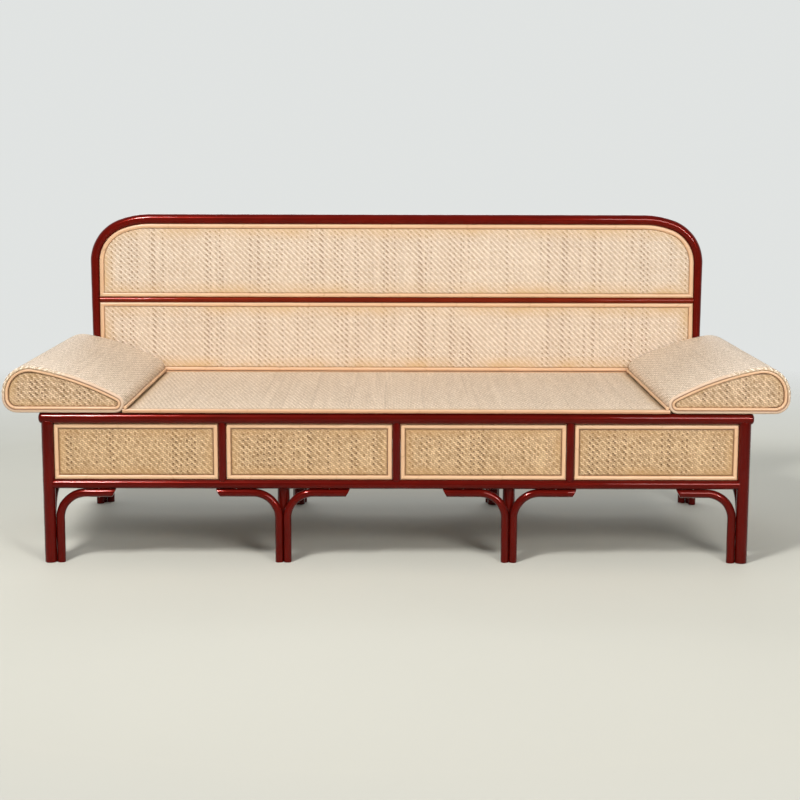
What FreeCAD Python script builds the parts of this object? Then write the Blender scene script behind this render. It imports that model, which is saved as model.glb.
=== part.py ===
import FreeCAD, Part
import math
import os
import re

# A cane and lacquered-pole daybed. X runs along its length, the front faces -Y and Z is up.
# The origin is on the floor, under the middle of the outline.

Vector = FreeCAD.Vector
Rotation = FreeCAD.Rotation
normal = Vector(0, 0, 1)
doc = FreeCAD.newDocument("LuohanDaybed")

# Driving dimensions in millimetres
sizes = {
    # whole frame
    "base_length": 1900,
    "pole_spacing": 770,
    "seat_height": 420,
    "back_height": 908,
    "glue_gap": 0.3,
    "cut_spare_length": 20,
    # rails and legs
    "top_diameter": 31,
    "top_overhang_length": 6,
    "top_end_radius": 9,
    "lower_diameter": 25,
    "lower_height": 215,
    "leg_diameter": 33,
    "leg_shoulder_height": 7,
    "divider_diameter": 22,
    # centre posts, stretchers and seat bearers
    "post_diameter": 33,
    "post_spacing": 610,
    "stretcher_diameter": 25,
    "bearer_diameter": 24,
    # bent braces
    "corner_diameter": 23,
    "corner_length": 180,
    "corner_bend_radius": 70,
    "fork_diameter": 22,
    "fork_length": 180,
    "fork_bend_radius": 70,
    "tip_slant_length": 11,
    # seat mat
    "mat_thickness": 10,
    "mat_strip_width": 12,
    "mat_strip_radius": 2.5,
    # woven apron panels and their strips
    "panel_thickness": 6,
    "panel_recess_depth": 3,
    "strip_width": 12,
    "strip_thickness": 10,
    "strip_round_radius": 2.5,
    # hooped back
    "crown_diameter": 32,
    "shoulder_diameter": 28,
    "foot_diameter": 24,
    "shoulder_bend_radius": 125,
    "crown_bend_radius": 245,
    "crown_bend_angle": 22,
    "middle_share": 0.457,
    "middle_width": 18,
    "middle_depth": 10,
    "back_strip_thickness": 9,
    "back_setback_depth": 12,
    "bar_diameter": 18,
    # armrests
    "arm_width": 325,
    "arm_height": 127,
    "arm_overhang_length": 100,
    "arm_nose_radius": 75,
    "arm_heel_radius": 40,
    "arm_tip_radius": 25,
    "arm_slope_radius": 750,
    "arm_skin_thickness": 9,
    "arm_edge_radius": 3,
    "ring_width": 8,
    "ring_thickness": 8,
    "ring_recess_depth": 1.5,
    "end_recess_depth": 5,
    "end_thickness": 6,
    "seam_diameter": 9,
    "rib_thickness": 18,
    "rib_inset_depth": 60,
    "spar_diameter": 20,
    "spar_height": 45,
    "spar_spacing": 120,
    # dowels and screws
    "dowel_diameter": 10,
    "dowel_length": 60,
    "dowel_cover_depth": 6,
    "hole_gap": 0.1,
    "screw_diameter": 4.5,
    "screw_head_diameter": 9,
    "screw_sink_depth": 4,
    "screw_length": 35,
}

# Places that follow from the driving dimensions
places = {
    "leg_x": "(base_length - leg_diameter) / 2",
    "pole_y": "pole_spacing / 2",
    "front_face": "pole_y + leg_diameter / 2",
    "top_z": "seat_height - mat_thickness - top_diameter / 2",
    "deck_z": "seat_height - mat_thickness",
    "divider_x": "leg_x / 2",
    "post_x": "post_spacing / 2",
    "post_y": "pole_y - (lower_diameter + post_diameter) / 2 - glue_gap",
    "bearer_z": "deck_z - bearer_diameter / 2",
    "fork_y": "post_y + (post_diameter + fork_diameter) / 2 + glue_gap",
    "corner_foot": "(leg_diameter + corner_diameter) / 2 + glue_gap",
    "fork_foot": "(fork_diameter + glue_gap) / 2",
    "corner_top": "lower_height - (lower_diameter + corner_diameter) / 2 - glue_gap",
    "fork_top": "lower_height - (lower_diameter + fork_diameter) / 2 - glue_gap",
    "panel_low": "lower_height + lower_diameter / 2 + glue_gap",
    "panel_high": "top_z - top_diameter / 2 - glue_gap",
    "hoop_x": "(base_length - shoulder_diameter) / 2",
    "crown_z": "back_height - crown_diameter / 2",
    "crown_turn": "90 - crown_bend_angle",
    "bend_step": "crown_bend_radius - shoulder_bend_radius",
    "shoulder_z": "crown_z - crown_bend_radius + bend_step * sin(crown_turn * 1deg)",
    "crown_x": "hoop_x - shoulder_bend_radius - bend_step * cos(crown_turn * 1deg)",
    "crown_centre_z": "crown_z - crown_bend_radius",
    "shoulder_x": "hoop_x - shoulder_bend_radius",
    "back_front": "pole_y - back_setback_depth",
    "back_rear": "back_front + back_strip_thickness",
    "back_low": "seat_height + glue_gap",
    "middle_z": "seat_height + middle_share * (back_height - seat_height)",
    "bar_y": "back_rear + glue_gap + bar_diameter / 2",
    "arm_outer": "base_length / 2 + arm_overhang_length",
    "arm_inner": "arm_outer - arm_width",
    "arm_front": "front_face",
    "arm_rear": "pole_y - crown_diameter / 2 - glue_gap",
    "mat_end": "arm_inner + arm_tip_radius - sqrt(arm_tip_radius ^ 2 - (arm_tip_radius - mat_thickness) ^ 2)",
    "rib_front": "arm_front - rib_inset_depth",
    "rib_rear": "arm_rear - rib_inset_depth",
    "mat_rear": "back_front - glue_gap",
    "mat_front": "pole_y + top_diameter / 2",
}

sheet = doc.addObject("Spreadsheet::Sheet", "Sizes")
for row, (alias, text) in enumerate([*sizes.items(), *places.items()], start=1):
    sheet.set(f"A{row}", alias.replace("_", " "))
    sheet.set(f"B{row}", str(text) if alias in sizes else "=" + text)
    sheet.setAlias(f"B{row}", alias)
doc.recompute()

nodes = {}
sides = {"left": "-", "right": ""}
ends = {"front": "-", "rear": ""}
turns = {
    "x": Rotation(Vector(0, 1, 0), 90),
    "y": Rotation(Vector(1, 0, 0), -90),
    "z": Rotation(),
}


def get(alias):
    """The number behind an alias of the sheet."""
    return float(sheet.get(alias))


def sized(text):
    """An expression with the sheet's name before each alias."""
    return re.sub(r"[a-z]+(_[a-z]+)+", r"Sizes.\g<0>", text)


def bind(thing, **formulas):
    """Binds properties to expressions of the sheet's aliases."""
    for name, text in formulas.items():
        thing.setExpression(name.replace("__", "."), sized(text))


def place(thing, x, y, z, rotation=None):
    """Puts a thing at a place given as expressions."""
    thing.Placement = FreeCAD.Placement(Vector(), rotation or Rotation())
    bind(thing, Placement__Base__x=x, Placement__Base__y=y, Placement__Base__z=z)


def keep(name, thing):
    """Makes a thing a sub-part of the daybed."""
    thing.Label = name
    nodes[name] = thing
    return thing


def pole(name, diameter, length, x, y, z, along):
    """A round pole that starts at a place and runs along one axis."""
    stick = doc.addObject("Part::Cylinder", name)
    bind(stick, Radius=f"({diameter}) / 2", Height=length)
    place(stick, x, y, z, turns[along])
    return stick


def box(name, x_span, y_span, z_span):
    """A block between two places along each axis."""
    block = doc.addObject("Part::Box", name)
    spans = dict(zip(("Length", "Width", "Height"), (x_span, y_span, z_span)))
    bind(block, **{key: f"({high}) - ({low})" for key, (low, high) in spans.items()})
    place(block, x_span[0], y_span[0], z_span[0])
    return block


def cut(name, base, tools):
    """A base with each of the tools taken away."""
    for count, tool in enumerate(tools):
        result = doc.addObject("Part::Cut", f"{name}_cut_{count}")
        result.Base = base
        result.Tool = tool
        base = result
    return base


def group(name, pieces):
    """Separate solids that share one node."""
    result = doc.addObject("Part::Compound", name + "_group")
    result.Links = pieces
    return keep(name, result)


def new_body(name):
    return doc.addObject("PartDesign::Body", name)


def sketch(body, name, role, lines, offset=None):
    """A sketch on one of the body's own planes, with an offset along the plane's normal."""
    result = body.newObject("Sketcher::SketchObject", f"{body.Name}_{name}")
    plane = next(item for item in body.Origin.OriginFeatures if item.Role == role)
    result.AttachmentSupport = [(plane, "")]
    result.MapMode = "FlatFace"
    if offset:
        bind(result, AttachmentOffset__Base__z=offset)
    result.addGeometry(lines, False)
    return result


def polygon(points):
    """Straight edges round a closed outline."""
    corners = [Vector(x, y, 0) for x, y in points]
    return [Part.LineSegment(a, b) for a, b in zip(corners, corners[1:] + corners[:1])]


def circle(x, y, radius):
    return Part.Circle(Vector(x, y, 0), normal, radius)


def arc(x, y, radius, start, stop):
    """A round edge about a centre, between two angles in degrees."""
    return Part.ArcOfCircle(circle(x, y, radius), math.radians(start), math.radians(stop))


def line(x1, y1, x2, y2):
    return Part.LineSegment(Vector(x1, y1, 0), Vector(x2, y2, 0))


def pad(body, name, profile, length, symmetric=False):
    result = body.newObject("PartDesign::Pad", f"{body.Name}_{name}")
    result.Profile = profile
    if symmetric:
        result.SideType = "Symmetric"
    bind(result, Length=length)
    return result


def round_edges(body, feature, radius, wanted):
    """Rounds the edges of a body's feature that a test picks."""
    doc.recompute()
    names = [f"Edge{i}" for i, edge in enumerate(feature.Shape.Edges, start=1) if wanted(edge)]
    fillet = body.newObject("PartDesign::Fillet", f"{body.Name}_round")
    fillet.Base = (feature, names)
    bind(fillet, Radius=radius)
    return fillet


# Tools that give each joint its coped seat and each dowel and screw its hole

def cope(name, diameter, length, x, y, z, along):
    """Room for a pole: the pole's own size with the glue gap round it."""
    return pole("cope_" + name, f"{diameter} + 2 * glue_gap", length, x, y, z, along)


copes = {}
for end, back in ends.items():
    copes[end, "top"] = cope(
        end + "_top", "top_diameter", "base_length + 2 * cut_spare_length",
        "-base_length / 2 - cut_spare_length", f"{back}pole_y", "top_z", "x",
    )
    copes[end, "lower"] = cope(
        end + "_lower", "lower_diameter", "base_length",
        "-base_length / 2", f"{back}pole_y", "lower_height", "x",
    )
for side, left in sides.items():
    copes[side, "top"] = cope(
        side + "_top", "top_diameter", "pole_spacing", f"{left}leg_x", "-pole_y", "top_z", "y"
    )
    copes[side, "bearer"] = cope(
        side + "_bearer", "bearer_diameter", "pole_spacing", f"{left}post_x", "-pole_y", "bearer_z", "y"
    )
    for end, back in ends.items():
        copes[side, end, "leg"] = cope(
            f"{side}_{end}_leg", "leg_diameter", "top_z", f"{left}leg_x", f"{back}pole_y", "0", "z"
        )
        copes[side, end, "post"] = cope(
            f"{side}_{end}_post", "post_diameter", "top_z", f"{left}post_x", f"{back}post_y", "0", "z"
        )


def dowel_places():
    """The low end of each dowel: four at the corners, and two under each arm."""
    for side, left in sides.items():
        yield side, "front", f"{left}leg_x", "-pole_y", "deck_z - dowel_cover_depth - dowel_length"
        yield side, "rear", f"{left}leg_x", "pole_y", "top_z - dowel_length / 2"
        yield side, "arm_front", f"{left}leg_x", "-rib_front", "deck_z - top_diameter"
        yield side, "arm_rear", f"{left}leg_x", "rib_rear", "deck_z - top_diameter"


dowels = []
holes = {}
for side, spot, x, y, low in dowel_places():
    dowels.append(pole(f"dowel_{side}_{spot}", "dowel_diameter", "dowel_length", x, y, low, "z"))
    holes[side, spot] = pole(
        f"hole_{side}_{spot}", "dowel_diameter + 2 * hole_gap", "dowel_length + 2 * hole_gap",
        x, y, f"{low} - hole_gap", "z",
    )
group("frame_dowels", dowels)


# Bent braces with a screw up through each into the lower rail

screws = []
screw_holes = {}


def screw(name, x, y, z, gap):
    """A countersunk screw that points up, its head flush at a place, or the room for one."""
    head = doc.addObject("Part::Cone", name + "_head")
    bind(
        head, Radius1=f"screw_head_diameter / 2 + {gap}", Radius2=f"screw_diameter / 2 + {gap}",
        Height="screw_sink_depth",
    )
    shank = doc.addObject("Part::Cylinder", name + "_shank")
    bind(shank, Radius=f"screw_diameter / 2 + {gap}", Height=f"screw_length + {gap}")
    for piece in (head, shank):
        place(piece, x, y, z)
    whole = doc.addObject("Part::Fuse", name)
    whole.Base = head
    whole.Tool = shank
    return whole


def brace(name, kind, run, x, y, towards):
    """A pole that rises from the floor and bends level under a rail, with its tip cut on a slant.

    kind names the diameter, bend and top in the sheet, run is from the foot's centre to the tip,
    and towards is the direction of the level stretch: its angle, and its step in x and y.
    """
    angle, step_x, step_y = towards
    radius = get(kind + "_diameter") / 2
    bend, top, reach = get(kind + "_bend_radius"), get(kind + "_top"), run_length(run)
    body = new_body(name)
    path = sketch(body, "path", "XZ_Plane", [
        line(0, 0, 0, top - bend),
        arc(bend, top - bend, bend, 90, 180),
        line(bend, top, reach, top),
    ])
    foot = sketch(body, "foot", "XY_Plane", [circle(0, 0, radius)])
    doc.recompute()
    pipe = body.newObject("PartDesign::AdditivePipe", name + "_pipe")
    pipe.Profile = foot
    pipe.Spine = (path, ["Edge1", "Edge2", "Edge3"])
    slant, spare = get("tip_slant_length"), get("cut_spare_length")
    lean = slant / (2 * radius)
    wedge = sketch(body, "wedge", "XZ_Plane", polygon([
        (reach - slant - lean * spare, top - radius - spare),
        (reach + spare, top - radius - spare),
        (reach + spare, top + radius + spare),
        (reach + lean * spare, top + radius + spare),
    ]))
    pocket = body.newObject("PartDesign::Pocket", name + "_tip")
    pocket.Profile = wedge
    pocket.SideType = "Symmetric"
    bind(pocket, Length=f"{kind}_diameter + cut_spare_length")
    place(body, x, y, "0", Rotation(normal, angle))
    level = f"({run} + {kind}_bend_radius - tip_slant_length) / 2"
    low = f"{kind}_top - {kind}_diameter / 2"
    spot = (f"{x} + {step_x} * ({level})", f"{y} + {step_y} * ({level})", low)
    screws.append(screw(name + "_screw", *spot, "0"))
    screw_holes[name] = screw(name + "_screw_hole", *spot, "hole_gap")
    return cut(name, body, [screw_holes[name]])


def run_length(text):
    """The number that an expression of a length and a foot comes to."""
    length, foot = text.split(" - ")
    return get(length) - get(foot)


toward = {"right": (0, 1, 0), "left": (180, -1, 0), "rear": (90, 0, 1), "front": (270, 0, -1)}
corner_run = "corner_length - corner_foot"
fork_run = "fork_length - fork_foot"
for side, left in sides.items():
    inward = "right" if side == "left" else "left"
    for end, back in ends.items():
        middle = "rear" if end == "front" else "front"
        toward_x, toward_y = toward[inward][1], toward[middle][2]
        name = f"{end}_{side}_corner_brace"
        keep(name, brace(
            name, "corner", corner_run,
            f"{left}leg_x + {toward_x} * corner_foot", f"{back}pole_y", toward[inward],
        ))
        name = f"{end}_{side}_end_brace"
        keep(name, brace(
            name, "corner", corner_run,
            f"{left}leg_x", f"{back}pole_y + {toward_y} * corner_foot", toward[middle],
        ))
        pair = []
        for way in ("left", "right"):
            name = f"{end}_{side}_fork_{way}"
            x = f"{left}post_x + {toward[way][1]} * fork_foot"
            pair.append(brace(name, "fork", fork_run, x, f"{back}fork_y", toward[way]))
        group(f"{end}_{side}_forked_brace", pair)
group("brace_screws", screws)


# Legs, posts and rails

for side, left in sides.items():
    for end, back in ends.items():
        name = f"{end}_{side}_leg"
        height = "top_z - leg_shoulder_height"
        leg = pole(name, "leg_diameter", height, f"{left}leg_x", f"{back}pole_y", "0", "z")
        keep(name, cut(name, leg, [copes[end, "top"], copes[side, "top"], holes[side, end]]))
        name = f"{end}_{side}_centre_post"
        height = "bearer_z - leg_shoulder_height"
        post = pole(name, "post_diameter", height, f"{left}post_x", f"{back}post_y", "0", "z")
        keep(name, cut(name, post, [copes[side, "bearer"], copes[end, "top"]]))


def top_rail(name, y):
    """A rail over two legs, with domed ends."""
    body = new_body(name)
    rail = pad(
        body, "pole", sketch(body, "circle", "YZ_Plane", [circle(0, 0, get("top_diameter") / 2)]),
        "base_length + 2 * top_overhang_length", symmetric=True,
    )
    round_edges(
        body, rail, "top_end_radius", lambda edge: edge.Closed and isinstance(edge.Curve, Part.Circle)
    )
    place(body, "0", y, "top_z")
    return body


for end, back in ends.items():
    name = f"{end}_top_rail"
    rail = top_rail(name, f"{back}pole_y")
    keep(name, cut(name, rail, [holes[side, end] for side in sides]))
    name = f"{end}_lower_rail"
    rail = pole(name, "lower_diameter", "2 * leg_x", "-leg_x", f"{back}pole_y", "lower_height", "x")
    kinds = ("corner_brace", "fork_left", "fork_right")
    braces = [f"{end}_{side}_{kind}" for side in sides for kind in kinds]
    tools = [copes[side, end, "leg"] for side in sides] + [screw_holes[item] for item in braces]
    keep(name, cut(name, rail, tools))
    uprights = []
    for count, x in enumerate(("-divider_x", "0", "divider_x")):
        upright = pole(
            f"{end}_divider_{count}", "divider_diameter", "top_z - lower_height",
            x, f"{back}pole_y", "lower_height", "z",
        )
        uprights.append(cut(upright.Name, upright, [copes[end, "top"], copes[end, "lower"]]))
    group(f"{end}_dividers", uprights)

for side, left in sides.items():
    name = f"{side}_top_rail"
    rail = pole(name, "top_diameter", "pole_spacing", f"{left}leg_x", "-pole_y", "top_z", "y")
    tools = [copes[end, "top"] for end in ends]
    tools += [holes[side, spot] for spot in (*ends, "arm_front", "arm_rear")]
    keep(name, cut(name, rail, tools))
    name = f"{side}_lower_rail"
    rail = pole(name, "lower_diameter", "pole_spacing", f"{left}leg_x", "-pole_y", "lower_height", "y")
    tools = [copes[side, end, "leg"] for end in ends]
    tools += [screw_holes[f"{end}_{side}_end_brace"] for end in ends]
    keep(name, cut(name, rail, tools))

stretchers = []
for side, left in sides.items():
    rail = pole(
        side + "_stretcher", "stretcher_diameter", "2 * post_y",
        f"{left}post_x", "-post_y", "lower_height", "y",
    )
    stretchers.append(cut(rail.Name, rail, [copes[side, end, "post"] for end in ends]))
group("cross_stretchers", stretchers)

# Bearers stand evenly between the posts, and evenly from each post out to its leg
inner_bays, outer_bays = 2, 4
bearer_places = ["0"]
for left in sides.values():
    bearer_places += [f"{left}post_x * {count} / {inner_bays}" for count in range(1, inner_bays + 1)]
    bearer_places += [
        f"{left}(post_x + (leg_x - post_x) * {count} / {outer_bays})" for count in range(1, outer_bays)
    ]
bearers = []
for count, x in enumerate(bearer_places):
    rail = pole(f"bearer_{count}", "bearer_diameter", "pole_spacing", x, "-pole_y", "bearer_z", "y")
    bearers.append(cut(rail.Name, rail, [copes[end, "top"] for end in ends]))
group("seat_bearers", bearers)


# Seat mat with a light strip along its front and rear edges

mat_x = ("glue_gap - mat_end", "mat_end - glue_gap")
mat_z = ("deck_z", "seat_height")
mat_y = ("mat_strip_width - mat_front", "mat_rear - mat_strip_width")
keep("seat_mat", box("seat_mat", mat_x, mat_y, mat_z))


def edge_strip(name, y, outward):
    """A strip along the mat, its outer long edges rounded. outward is the sign of y that it faces."""
    body = new_body(name)
    x, depth, height = get("mat_end") - get("glue_gap"), get("mat_strip_width"), get("mat_thickness")
    outline = polygon([(0, 0), (depth, 0), (depth, height), (0, height)])
    profile = sketch(body, "outline", "YZ_Plane", outline)
    long_strip = pad(body, "strip", profile, "2 * (mat_end - glue_gap)", symmetric=True)
    round_edges(
        body, long_strip, "mat_strip_radius",
        lambda edge: edge.Length > x and abs(edge.CenterOfMass.y - depth) < depth / 2,
    )
    place(body, "0", y, "deck_z", Rotation(normal, 0 if outward > 0 else 180))
    return body


group("seat_edge_strips", [
    edge_strip("front_edge_strip", "mat_strip_width - mat_front", -1),
    edge_strip("rear_edge_strip", "mat_rear - mat_strip_width", 1),
])


# Woven apron panels, each held in four mitred strips

def strip(name, edges, thickness, rounding, offset=None):
    """A flat strip drawn in x and z, the long edges of its front face rounded."""
    body = new_body(name)
    flat = pad(body, "flat", sketch(body, "outline", "XZ_Plane", edges, offset), thickness)
    doc.recompute()
    near = flat.Shape.BoundBox.YMin + get(rounding) / 2
    longest_mitre = 2 * get("strip_width")
    round_edges(
        body, flat, rounding, lambda edge: edge.BoundBox.YMax < near and edge.Length > longest_mitre
    )
    return body


def frame_strips(name, low_x, high_x, low_z, high_z, turn, x, y):
    """Four mitred strips round an opening, the frame then turned and placed."""
    width = get("strip_width")
    outer = [(low_x, low_z), (high_x, low_z), (high_x, high_z), (low_x, high_z)]
    inner = [
        (low_x + width, low_z + width), (high_x - width, low_z + width),
        (high_x - width, high_z - width), (low_x + width, high_z - width),
    ]
    pieces = []
    for count in range(4):
        after = (count + 1) % 4
        points = [outer[count], outer[after], inner[after], inner[count]]
        piece = strip(
            f"{name}_{count}", polygon(points), "strip_thickness", "strip_round_radius",
            "-strip_thickness / 2",
        )
        place(piece, x, y, "0", Rotation(normal, turn))
        pieces.append(piece)
    return pieces


def woven_panel(name, low_x, high_x, low_z, high_z, turn, x, y):
    """The flat panel inside a frame of strips."""
    body = new_body(name)
    width = get("strip_width")
    outline = polygon([
        (low_x + width, low_z + width), (high_x - width, low_z + width),
        (high_x - width, high_z - width), (low_x + width, high_z - width),
    ])
    front = "strip_thickness / 2 - panel_recess_depth - panel_thickness"
    pad(body, "flat", sketch(body, "outline", "XZ_Plane", outline, front), "panel_thickness")
    place(body, x, y, "0", Rotation(normal, turn))
    return body


def apron(name, low_x, high_x, turn, x, y):
    """The strips and the woven panel of one bay, between two places along the bay."""
    low_z, high_z = get("panel_low"), get("panel_high")
    strips = frame_strips(name + "_strip", low_x, high_x, low_z, high_z, turn, x, y)
    return strips, woven_panel(name, low_x, high_x, low_z, high_z, turn, x, y)


gap = get("glue_gap")
leg_side = get("leg_x") - get("leg_diameter") / 2 - gap
divider = get("divider_diameter") / 2 + gap
bays = {
    "far_left": (-leg_side, -get("divider_x") - divider),
    "near_left": (-get("divider_x") + divider, -divider),
    "near_right": (divider, get("divider_x") - divider),
    "far_right": (get("divider_x") + divider, leg_side),
}
strips = []
for bay, (low_x, high_x) in bays.items():
    name = f"front_{bay}_panel"
    more, panel = apron(name, low_x, high_x, 0, "0", "-pole_y")
    strips += more
    keep(name, panel)
group("front_panel_strips", strips)

strips = []
panels = []
for bay, (low_x, high_x) in bays.items():
    more, panel = apron(f"rear_{bay}_panel", low_x, high_x, 180, "0", "pole_y")
    strips += more
    panels.append(panel)
group("rear_panel_strips", strips)
group("rear_panels", panels)

end_half = get("pole_y") - get("leg_diameter") / 2 - gap
strips = []
panels = []
for side, left in sides.items():
    turn = -90 if side == "left" else 90
    more, panel = apron(f"{side}_end_panel", -end_half, end_half, turn, f"{left}leg_x", "0")
    strips += more
    panels.append(panel)
group("end_panel_strips", strips)
group("end_panels", panels)


# Hooped back: a pole bent over both shoulders, thinner towards its feet

crown_turn = get("crown_turn")
hoop_x, crown_x, crown_z = get("hoop_x"), get("crown_x"), get("crown_z")
shoulder_x, shoulder_z = get("shoulder_x"), get("shoulder_z")
crown_centre, crown_bend, shoulder_bend = (
    get(name) for name in ("crown_centre_z", "crown_bend_radius", "shoulder_bend_radius")
)

hoop = new_body("back_hoop")
crown_circle = sketch(
    hoop, "crown_circle", "YZ_Plane", [circle(0, crown_z, get("crown_diameter") / 2)]
)
pad(hoop, "crown", crown_circle, "2 * crown_x", symmetric=True)
path = sketch(hoop, "bend_path", "XZ_Plane", [
    arc(shoulder_x, shoulder_z, shoulder_bend, 0, crown_turn),
    arc(crown_x, crown_centre, crown_bend, crown_turn, 90),
])
shoulder = sketch(
    hoop, "shoulder", "XY_Plane", [circle(hoop_x, 0, get("shoulder_diameter") / 2)], "shoulder_z"
)
bend_end = sketch(
    hoop, "bend_end", "YZ_Plane", [circle(0, crown_z, get("crown_diameter") / 2)], "crown_x"
)
post_top = sketch(
    hoop, "post_top", "XY_Plane", [circle(hoop_x, 0, get("shoulder_diameter") / 2)], "shoulder_z"
)
post_foot = sketch(hoop, "post_foot", "XY_Plane", [circle(hoop_x, 0, get("foot_diameter") / 2)], "top_z")
doc.recompute()
bend = hoop.newObject("PartDesign::AdditivePipe", "hoop_bend")
bend.Profile = shoulder
bend.Spine = (path, ["Edge1", "Edge2"])
bend.Sections = [bend_end]
bend.Transformation = "Multisection"
doc.recompute()
post = hoop.newObject("PartDesign::AdditiveLoft", "hoop_post")
post.Profile = post_top
post.Sections = [post_foot]
post.Ruled = True
doc.recompute()
mirrored = hoop.newObject("PartDesign::Mirrored", "hoop_other_side")
mirrored.Originals = [bend, post]
mirrored.MirrorPlane = (next(item for item in hoop.Origin.OriginFeatures if item.Role == "YZ_Plane"), [""])
hoop.Tip = mirrored
place(hoop, "0", "pole_y", "0")
feet = [copes["rear", "top"], copes["left", "top"], copes["right", "top"]]
keep("back_hoop", cut("back_hoop", hoop, feet + [holes[side, "rear"] for side in sides]))

post_room = []
for side, left in sides.items():
    cone = doc.addObject("Part::Cone", side + "_post_room")
    bind(
        cone, Radius1="foot_diameter / 2 + glue_gap", Radius2="shoulder_diameter / 2 + glue_gap",
        Height="shoulder_z - top_z",
    )
    place(cone, f"{left}hoop_x", "pole_y", "top_z")
    post_room.append(cone)


# Half-round middle rail between the hoop's posts, its flat side to the back

middle = new_body("back_middle_rail")
half, depth = get("middle_width") / 2, get("middle_depth")
bulge = (half * half + depth * depth) / (2 * depth)
spread = math.degrees(math.atan2(half, bulge - depth))
middle_outline = sketch(middle, "outline", "YZ_Plane", [
    arc(bulge - depth, 0, bulge, 180 - spread, 180 + spread),
    line(0, -half, 0, half),
])
pad(middle, "rail", middle_outline, "2 * hoop_x", symmetric=True)
place(middle, "0", "back_rear", "middle_z")
keep("back_middle_rail", cut("back_middle_rail", middle, post_room))


# Back panels and the light strips round them

def hoop_inset(inset):
    """Named places on the inside of the hoop, moved in by an inset."""
    edge = get("crown_diameter") / 2 + gap + inset
    return {
        "low_x": hoop_x - get("foot_diameter") / 2 - gap - inset,
        "side_x": hoop_x - edge,
        "top_z": crown_z - edge,
        "shoulder": shoulder_bend - edge,
        "crown": crown_bend - edge,
    }


def arch(at, low_z):
    """The edges up one side of the hoop's opening, over the top and down the other."""
    return [
        line(at["low_x"], low_z, at["side_x"], shoulder_z),
        arc(shoulder_x, shoulder_z, at["shoulder"], 0, crown_turn),
        arc(crown_x, crown_centre, at["crown"], crown_turn, 90),
        line(crown_x, at["top_z"], -crown_x, at["top_z"]),
        arc(-crown_x, crown_centre, at["crown"], 90, 180 - crown_turn),
        arc(-shoulder_x, shoulder_z, at["shoulder"], 180 - crown_turn, 180),
        line(-at["side_x"], shoulder_z, -at["low_x"], low_z),
    ]


def lean_x(at, z):
    """Where the sloping side of the opening is at a height."""
    share = (z - get("top_z")) / (shoulder_z - get("top_z"))
    return at["low_x"] + (at["side_x"] - at["low_x"]) * share


width = get("strip_width")
outside, inside = hoop_inset(0), hoop_inset(width)
upper_low = get("middle_z") + get("middle_width") / 2 + gap
lower_high = get("middle_z") - get("middle_width") / 2 - gap
lower_low = get("back_low")


def sloped(at, low_z):
    """The same opening with its sides cut off at a height."""
    return {**at, "low_x": lean_x(at, low_z)}


upper_outside, upper_inside = sloped(outside, upper_low), sloped(inside, upper_low + width)

low, high = upper_outside["low_x"], upper_inside["low_x"]
low_x, high_x = lean_x(outside, lower_low), lean_x(outside, lower_high)
in_low_z, in_high_z = lower_low + width, lower_high - width
in_low_x, in_high_x = lean_x(inside, in_low_z), lean_x(inside, in_high_z)
outer = [(-low_x, lower_low), (low_x, lower_low), (high_x, lower_high), (-high_x, lower_high)]
inner = [(-in_low_x, in_low_z), (in_low_x, in_low_z), (in_high_x, in_high_z), (-in_high_x, in_high_z)]
outlines = {
    "upper_arch": [
        *arch(upper_outside, upper_low),
        line(-low, upper_low, -high, upper_low + width),
        *arch(upper_inside, upper_low + width),
        line(high, upper_low + width, low, upper_low),
    ],
    "upper_low": polygon([
        (-low, upper_low), (low, upper_low), (high, upper_low + width), (-high, upper_low + width)
    ]),
}
for count, place_name in enumerate(("lower_low", "lower_right", "lower_high", "lower_left")):
    after = (count + 1) % 4
    outlines[place_name] = polygon([outer[count], outer[after], inner[after], inner[count]])
back_strips = []
for name, edges in outlines.items():
    piece = strip(name + "_strip", edges, "back_strip_thickness", "strip_round_radius")
    place(piece, "0", "back_rear", "0")
    back_strips.append(piece)
group("back_strips", back_strips)

upper = new_body("back_upper_panel")
outline = sketch(upper, "outline", "XZ_Plane", [
    *arch(upper_inside, upper_low + width),
    line(-upper_inside["low_x"], upper_low + width, upper_inside["low_x"], upper_low + width),
])
pad(upper, "flat", outline, "panel_thickness")
place(upper, "0", "back_rear", "0")
keep("back_upper_panel", upper)

lower = new_body("back_lower_panel")
pad(lower, "flat", sketch(lower, "outline", "XZ_Plane", polygon(inner)), "panel_thickness")
place(lower, "0", "back_rear", "0")
keep("back_lower_panel", lower)


# Sill under the back panels and bars behind them

sill_x = "hoop_x - foot_diameter"
sill = box(
    "back_sill", (f"-({sill_x})", sill_x), ("back_front", "back_rear"),
    ("deck_z + glue_gap", "back_low - glue_gap"),
)
crown_room = cope(
    "crown", "crown_diameter", "base_length", "-base_length / 2", "pole_y", "crown_z", "x"
)
bars = [sill]
for count, x in enumerate(("-divider_x", "0", "divider_x")):
    bar = pole(f"back_bar_{count}", "bar_diameter", "crown_z - top_z", x, "bar_y", "top_z", "z")
    bars.append(cut(bar.Name, bar, [copes["rear", "top"], crown_room]))
group("back_bars", bars)


# Armrests: a teardrop outline of tangent arcs, run from front to rear

def slope_centre():
    """The centre of the long arc that touches both the nose and the tip."""
    nose_x, nose_z = get("arm_nose_radius"), get("arm_height") - get("arm_nose_radius")
    tip_x, tip_z = get("arm_width") - get("arm_tip_radius"), get("arm_tip_radius")
    to_nose = get("arm_slope_radius") - get("arm_nose_radius")
    to_tip = get("arm_slope_radius") - get("arm_tip_radius")
    span = math.hypot(tip_x - nose_x, tip_z - nose_z)
    along = (to_nose**2 - to_tip**2 + span**2) / (2 * span)
    aside = math.sqrt(to_nose**2 - along**2)
    unit_x, unit_z = (tip_x - nose_x) / span, (tip_z - nose_z) / span
    return nose_x + along * unit_x + aside * unit_z, nose_z + along * unit_z - aside * unit_x


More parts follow.
